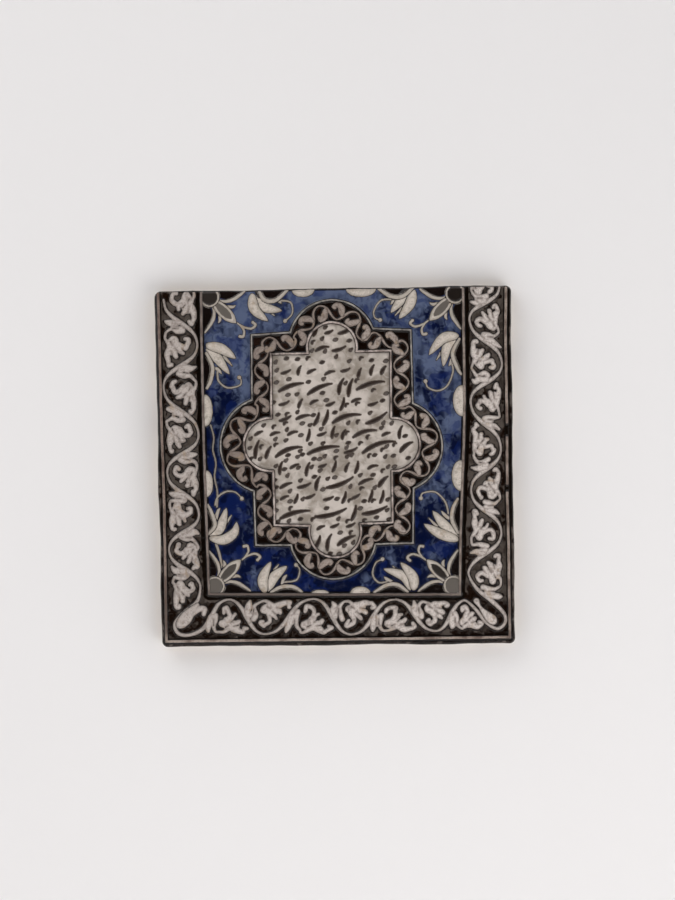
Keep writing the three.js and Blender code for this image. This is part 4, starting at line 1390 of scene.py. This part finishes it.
@dataclass
class Sheet:
    """One area of the face as a closed relief that runs under the ribs beside it."""

    zone: Zone
    cell: float
    low: Point
    high: Point
    glaze: PaintedGlaze
    tuck: float = 0.4
    map_edge: float = 3.0

    def kept(self, face: Face, centres: np.ndarray) -> np.ndarray:
        """Which cells belong to the area.

        Args:
            face: The whole face.
            centres: Middle of each cell on the square sheet.
        Returns:
            A mask, with no two cells that meet at a corner alone.
        """
        x, z, _ = lay_on_slab(centres[:, 0], centres[:, 1])
        kept = face.canvas.sample(face.zones[self.zone].astype(np.float32), x, z) > 0.5
        column = np.unique(np.round(centres[:, 0], 6), return_inverse=True)[1].reshape(-1)
        row = np.unique(np.round(centres[:, 1], 6), return_inverse=True)[1].reshape(-1)
        grid = np.zeros((row.max() + 1, column.max() + 1), dtype=bool)
        grid[row, column] = kept
        for _ in range(4):
            a, b, c, d = grid[:-1, :-1], grid[:-1, 1:], grid[1:, :-1], grid[1:, 1:]
            grid[:-1, 1:] |= a & d & ~b & ~c
            grid[:-1, :-1] |= b & c & ~a & ~d
        return grid[row, column]

    def cut_out(self, face: Face) -> bmesh.types.BMesh:
        """Cuts the area out of a flat grid.

        Args:
            face: The whole face.
        Returns:
            The grid on the square sheet, from -1 to 1.
        """
        width, height = self.high[0] - self.low[0], self.high[1] - self.low[1]
        shell = bmesh.new()
        counts = {"x_segments": round(width / self.cell), "y_segments": round(height / self.cell)}
        bmesh.ops.create_grid(shell, size=1, **counts)
        for vertex in shell.verts:
            vertex.co.x = (self.low[0] + width * (vertex.co.x + 1) / 2) / HALF_SIDE
            vertex.co.y = (self.low[1] + height * (vertex.co.y + 1) / 2) / HALF_SIDE
        cells = list(shell.faces)
        centres = np.array([cell.calc_center_median()[:2] for cell in cells])
        spare = [cells[i] for i in np.flatnonzero(~self.kept(face, centres))]
        bmesh.ops.delete(shell, geom=spare, context="FACES")
        return shell

    def lift(self, shell: bmesh.types.BMesh, face: Face) -> None:
        """Fits the grid to the slab and raises it to the modelled heights, rounded off at the tile's edge.

        Args:
            shell: The flat grid.
            face: The whole face.
        """
        flat = np.array([vertex.co[:2] for vertex in shell.verts])
        x, z, inset = lay_on_slab(flat[:, 0], flat[:, 1])
        rise = face.canvas.sample(face.height, x, z)
        fall = ARRIS * (1 - np.sqrt(np.clip(1 - (1 - np.clip(inset / ARRIS, 0, 1)) ** 2, 0, 1)))
        rise = np.minimum(rise - fall, np.where(inset < ARRIS, GROUND_TOP + inset, np.inf))
        for vertex, place in zip(shell.verts, zip(x, -rise, z)):
            vertex.co = place
        for cell in shell.faces:
            cell.smooth = True

    def close(self, shell: bmesh.types.BMesh) -> None:
        """Adds walls and a flat back, which lie inside the slab.

        Args:
            shell: The lifted grid.
        """
        rim = [edge for edge in shell.edges if edge.is_boundary]
        for edge in rim:
            edge.smooth = False
        walls = bmesh.ops.extrude_edge_only(shell, edges=rim)["geom"]
        for vertex in only(bmesh.types.BMVert, walls):
            vertex.co.x *= 1 - self.tuck / HALF_SIDE
            vertex.co.z *= 1 - self.tuck / HALF_SIDE
            vertex.co.y = -SHEET_BACK
        hem = [edge for edge in only(bmesh.types.BMEdge, walls) if edge.is_boundary]
        # the field and the band go round a hole, so their hems are two loops
        if self.zone in (Zone.FIELD, Zone.BAND):
            bmesh.ops.bridge_loops(shell, edges=hem)
        else:
            bmesh.ops.edgeloop_fill(shell, edges=hem)
        bmesh.ops.recalc_face_normals(shell, faces=shell.faces)

    def build(self, face: Face) -> bpy.types.Object:
        """Makes the sheet.

        Args:
            face: The whole face.
        Returns:
            The finished piece.
        """
        shell = self.cut_out(face)
        self.lift(shell, face)
        self.close(shell)
        bmesh.ops.scale(shell, verts=shell.verts, vec=(MM, MM, MM))
        mesh = take_mesh(shell, f"{self.zone.value}_relief")
        self.colour(mesh, face)
        return finish_piece(mesh, self.glaze.material())

    def colour(self, mesh: bpy.types.Mesh, face: Face) -> None:
        """Paints the sheet and lays out its flat map.

        Args:
            mesh: The sheet's mesh.
            face: The whole face.
        """
        places = np.empty(len(mesh.vertices) * 3, dtype=np.float32)
        mesh.vertices.foreach_get("co", places)
        x, z = places[0::3] / MM, places[2::3] / MM
        drawing = face.strokes if self.zone is Zone.PANEL else face.canvas
        rasters = {"paint": drawing.paint, "tone": drawing.tone, "wash": face.wash, "shade": face.shade}
        for name, raster in rasters.items():
            layer = mesh.attributes.new(name, "FLOAT", "POINT")
            layer.data.foreach_set("value", face.canvas.sample(raster, x, z).astype(np.float32))
        corners = np.empty(len(mesh.loops), dtype=np.int32)
        mesh.loops.foreach_get("vertex_index", corners)
        starts = np.empty(len(mesh.polygons), dtype=np.int32)
        mesh.polygons.foreach_get("loop_start", starts)
        # walls and back are hidden, so they share one spot of the map
        lowest = np.minimum.reduceat(-places[1::3][corners] / MM, starts)
        shown = np.repeat(lowest > SHEET_BACK + 1, np.diff(starts, append=len(corners)))
        flat = np.full((len(corners), 2), 0.002, dtype=np.float32)
        span = max(self.high[0] - self.low[0], self.high[1] - self.low[1]) + 2 * self.map_edge
        for axis, spots in enumerate((x, z)):
            flat[shown, axis] = 0.01 + 0.98 * (spots[corners[shown]] - self.low[axis] + self.map_edge) / span
        mesh.uv_layers.new(name="OFBake").data.foreach_set("uv", flat.ravel())


@dataclass
class Rib:
    """A raised rib between two areas, pressed a little unevenly."""

    name: str
    line: tuple
    closed: bool
    width: float
    glaze: RibGlaze
    chips: tuple = ()
    seed: int = 1
    step: float = 2.0
    drift: float = 0.22
    wear: float = 0.18
    chip_width: float = 6.0
    chip_depth: float = 2.2
    root: float = 2.5
    rounding: float = 0.36

    def points(self) -> list[Point]:
        """Sets points along the line, each a little off it.

        Returns:
            A point for about every step, in order.
        """
        random = np.random.default_rng(self.seed)
        ends = [*self.line, self.line[0]] if self.closed else list(self.line)
        points = []
        for start, end in zip(ends[:-1], ends[1:]):
            count = max(round(math.dist(start, end) / self.step), 1)
            points += [tuple(Vector(start).lerp(Vector(end), k / count)) for k in range(count)]
        if not self.closed:
            points.append(ends[-1])
        drift = np.convolve(random.uniform(-1, 1, (2 * len(points) + 10)), np.ones(5) / 5, "same")
        offs = zip(self.drift * drift[0::2], self.drift * drift[1::2])
        return [(x + off_x, z + off_z) for (x, z), (off_x, off_z) in zip(points, offs)]

    def build(self) -> bpy.types.Object:
        """Makes the rib.

        Returns:
            The finished piece.
        """
        # the crest wears in a pattern of its own
        random = np.random.default_rng(self.seed + 50)
        shell = bmesh.new()
        verts = [shell.verts.new((x * MM, -(GROUND_TOP - self.root) * MM, z * MM)) for x, z in self.points()]
        pairs = zip(verts, verts[1:] + verts[:1]) if self.closed else zip(verts, verts[1:])
        edges = [shell.edges.new(pair) for pair in pairs]
        wall = bmesh.ops.extrude_edge_only(shell, edges=edges)["geom"]
        for vertex in only(bmesh.types.BMVert, wall):
            loss = random.uniform(0.0, self.wear)
            for x, z, length in self.chips:
                if abs(vertex.co.x / MM - x) < self.chip_width and abs(vertex.co.z / MM - z) < length / 2:
                    loss = self.chip_depth
            vertex.co.y = -(RIB_TOP - loss) * MM
        for side in shell.faces:
            side.smooth = True
        bmesh.ops.recalc_face_normals(shell, faces=shell.faces)
        piece = finish_piece(take_mesh(shell, self.name), self.glaze.material())
        thick = piece.modifiers.new("thickness", "SOLIDIFY")
        thick.thickness = self.width * MM
        thick.offset = 0.0
        thick.use_even_offset = True
        worn = piece.modifiers.new("worn_edges", "BEVEL")
        worn.width = self.rounding * self.width * MM
        worn.segments = 3
        worn.limit_method = "ANGLE"
        worn.angle_limit = math.radians(50)
        return piece


@dataclass
class Slab:
    """The body of the tile behind the face: uneven pressed edges and a plain back."""

    cell: float = 3.0
    rings: int = 5
    hollow: float = 0.16
    back_arris: float = 0.8

    def build(self, face: Face) -> bpy.types.Object:
        """Makes the slab.

        Args:
            face: The whole face, for its raster of patches.
        Returns:
            The finished piece.
        """
        shell = bmesh.new()
        count = round(2 * HALF_SIDE / self.cell)
        bmesh.ops.create_grid(shell, x_segments=count, y_segments=count, size=1)
        front = bmesh.ops.extrude_face_region(shell, geom=list(shell.faces))["geom"]
        front_verts = set(only(bmesh.types.BMVert, front))
        flat = np.array([vertex.co[:2] for vertex in shell.verts])
        x, z, _ = lay_on_slab(flat[:, 0], flat[:, 1])
        hollows = self.hollow * (1 + face.canvas.sample(face.canvas.grain(Patch.BACK_HOLLOWS), x, z))
        # the front ends just inside the sheets that lie on it
        front_depth = GROUND_TOP - ARRIS + 0.02
        for vertex, px, pz, hollow in zip(shell.verts, x, z, hollows):
            depth = front_depth if vertex in front_verts else hollow
            vertex.co = (px * MM, -depth * MM, pz * MM)
        sides = [edge for edge in shell.edges if len({vertex in front_verts for vertex in edge.verts}) == 2]
        bmesh.ops.subdivide_edges(shell, edges=sides, cuts=self.rings, use_grid_fill=True)
        back = [edge for edge in shell.edges if all(-0.5 * MM <= vertex.co.y for vertex in edge.verts)]
        corner = [edge for edge in back
                  if any(abs(side.calc_center_median().y) > 0.6 * MM for side in edge.link_faces)]
        bmesh.ops.bevel(shell, geom=corner, offset=self.back_arris * MM, offset_type="OFFSET", affect="EDGES",
                        segments=2, profile=0.5, material=-1, clamp_overlap=True)
        bmesh.ops.recalc_face_normals(shell, faces=shell.faces)
        for cell in shell.faces:
            cell.smooth = True
        mesh = take_mesh(shell, "slab_body")
        mesh.set_sharp_from_angle(angle=math.radians(40))
        return finish_piece(mesh, FiredEdge().material())


@dataclass
class Studio:
    """A pale sheet behind the tile, a pale floor far below it, soft light and the camera."""

    lens: float = 100.0
    sensor: float = 36.0
    # the view's height at this level above the back, and its middle, in millimetres
    frame_height: float = 639.0
    level: float = 15.5
    view_x: float = 1.69
    view_z: float = 11.87
    roll: float = 0.953
    pale: str = "#f1efee"
    surround: str = "#f8f8fa"
    opening: str = "#141414"
    brightness: float = 1.22
    # each lamp: name, place in metres and power
    lamps: tuple = (("low_window", (0.9, -1.2, -0.9), 8.5), ("high_fill", (-0.9, -1.1, 1.2), 7.0))
    lamp_size: float = 1.2

    def sheets(self) -> None:
        """Hangs pale paper close behind the tile, seen from the front alone, and lays a floor far below."""
        # matt off-white, with no shadow of its own
        material = start_material("pale_paper")
        tree = material.node_tree
        shader = add_node(tree, "ShaderNodeBsdfDiffuse", None, {"Color": linear(self.pale)})
        clear = add_node(tree, "ShaderNodeBsdfTransparent")
        side = add_node(tree, "ShaderNodeNewGeometry")
        both = add_node(tree, "ShaderNodeMixShader", None, None,
                        {0: side.outputs["Backfacing"], 1: shader.outputs[0], 2: clear.outputs[0]})
        add_node(tree, "ShaderNodeOutputMaterial", None, None, {"Surface": both.outputs[0]})
        for name, depth, tilt, middle in (
            ("paper_wall", 3.6, math.pi / 2, (0, 0.0008, 1.2)),
            ("pale_floor", 6.0, 0.0, (0, 0, -0.6)),
        ):
            shell = bmesh.new()
            bmesh.ops.create_grid(shell, x_segments=1, y_segments=1, size=0.5)
            bmesh.ops.scale(shell, verts=shell.verts, vec=(6.0, depth, 1.0))
            bmesh.ops.rotate(shell, verts=shell.verts, matrix=Matrix.Rotation(tilt, 3, "X"))
            bmesh.ops.translate(shell, verts=shell.verts, vec=middle)
            mesh = take_mesh(shell, name)
            mesh.materials.append(material)
            plane = bpy.data.objects.new(name, mesh)
            plane.visible_shadow = False
            bpy.context.scene.collection.objects.link(plane)

    def light(self) -> None:
        """Sets a pale surround with a dark opening where the lens looks through, and two soft lamps."""
        world = bpy.data.worlds.new("pale_surround")
        bpy.context.scene.world = world
        world.use_nodes = True
        tree = world.node_tree
        place = add_node(tree, "ShaderNodeTexCoord").outputs["Generated"]
        depth = add_node(tree, "ShaderNodeSeparateXYZ", None, None, {0: place}).outputs["Y"]
        spread = add_node(tree, "ShaderNodeMapRange", {"interpolation_type": "SMOOTHSTEP"},
                          {"From Min": -0.86, "From Max": -0.48}, {"Value": depth})
        hues = {6: linear(self.opening), 7: linear(self.surround)}
        tint = add_node(tree, "ShaderNodeMix", {"data_type": "RGBA"}, hues, {0: spread.outputs["Result"]})
        tree.links.new(tint.outputs[2], tree.nodes["Background"].inputs["Color"])
        tree.nodes["Background"].inputs["Strength"].default_value = self.brightness
        for name, place, power in self.lamps:
            lamp = bpy.data.lights.new(name, "AREA")
            lamp.size = self.lamp_size
            lamp.energy = power
            holder = bpy.data.objects.new(name, lamp)
            holder.location = place
            holder.rotation_euler = (-Vector(place)).to_track_quat("-Z", "Y").to_euler()
            bpy.context.scene.collection.objects.link(holder)

    def camera(self) -> None:
        """Sets the camera square to the face, rolled as the photograph is."""
        data = bpy.data.cameras.new("camera")
        data.lens = self.lens
        data.sensor_fit = "VERTICAL"
        data.sensor_height = self.sensor
        data.clip_end = 20.0
        holder = bpy.data.objects.new("camera", data)
        turn = math.radians(self.roll)
        away = (self.lens * self.frame_height / self.sensor + self.level) * MM
        right = Vector((math.cos(turn), 0, -math.sin(turn)))
        up = Vector((math.sin(turn), 0, math.cos(turn)))
        spot = Vector((self.view_x * MM, -away, self.view_z * MM))
        facing = Matrix((right, up, Vector((0, -1, 0)))).transposed()
        holder.matrix_world = Matrix.Translation(spot) @ facing.to_4x4()
        bpy.context.scene.collection.objects.link(holder)
        bpy.context.scene.camera = holder
        bpy.context.scene.view_settings.view_transform = "Standard"

    def build(self) -> None:
        """Sets up the whole studio."""
        self.camera()
        self.sheets()
        self.light()


def main() -> None:
    """Builds every piece and sets the studio."""
    logging.basicConfig(level=logging.INFO, format="%(message)s")
    Studio().build()
    face = Face()
    Slab().build(face)
    for sheet in (
        Sheet(Zone.BORDER, 0.51, (-126, -126), (126, 126), BORDER_GLAZE),
        Sheet(Zone.FIELD, 0.47, (-94, -93), (94, 126), FIELD_GLAZE),
        Sheet(Zone.BAND, 0.3, (-84, -82), (79, 121), BAND_GLAZE),
        Sheet(Zone.PANEL, 0.4, (-68, -67), (64, 105), PANEL_GLAZE),
    ):
        sheet.build(face)
    for rib in (
        Rib("outer_rib", OUTER_RIB, False, 1.9, OUTER_RIB_GLAZE, OUTER_CHIPS, seed=3),
        Rib("inner_rib", INNER_RIB, False, 1.9, INNER_RIB_GLAZE, seed=5),
        Rib("cartouche_rib", tuple(CARTOUCHE), True, 1.3, CARTOUCHE_RIB_GLAZE, seed=7),
        Rib("panel_rib", tuple(PANEL), True, 1.8, PANEL_RIB_GLAZE, seed=9),
    ):
        rib.build()


if __name__ == "__main__":
    main()
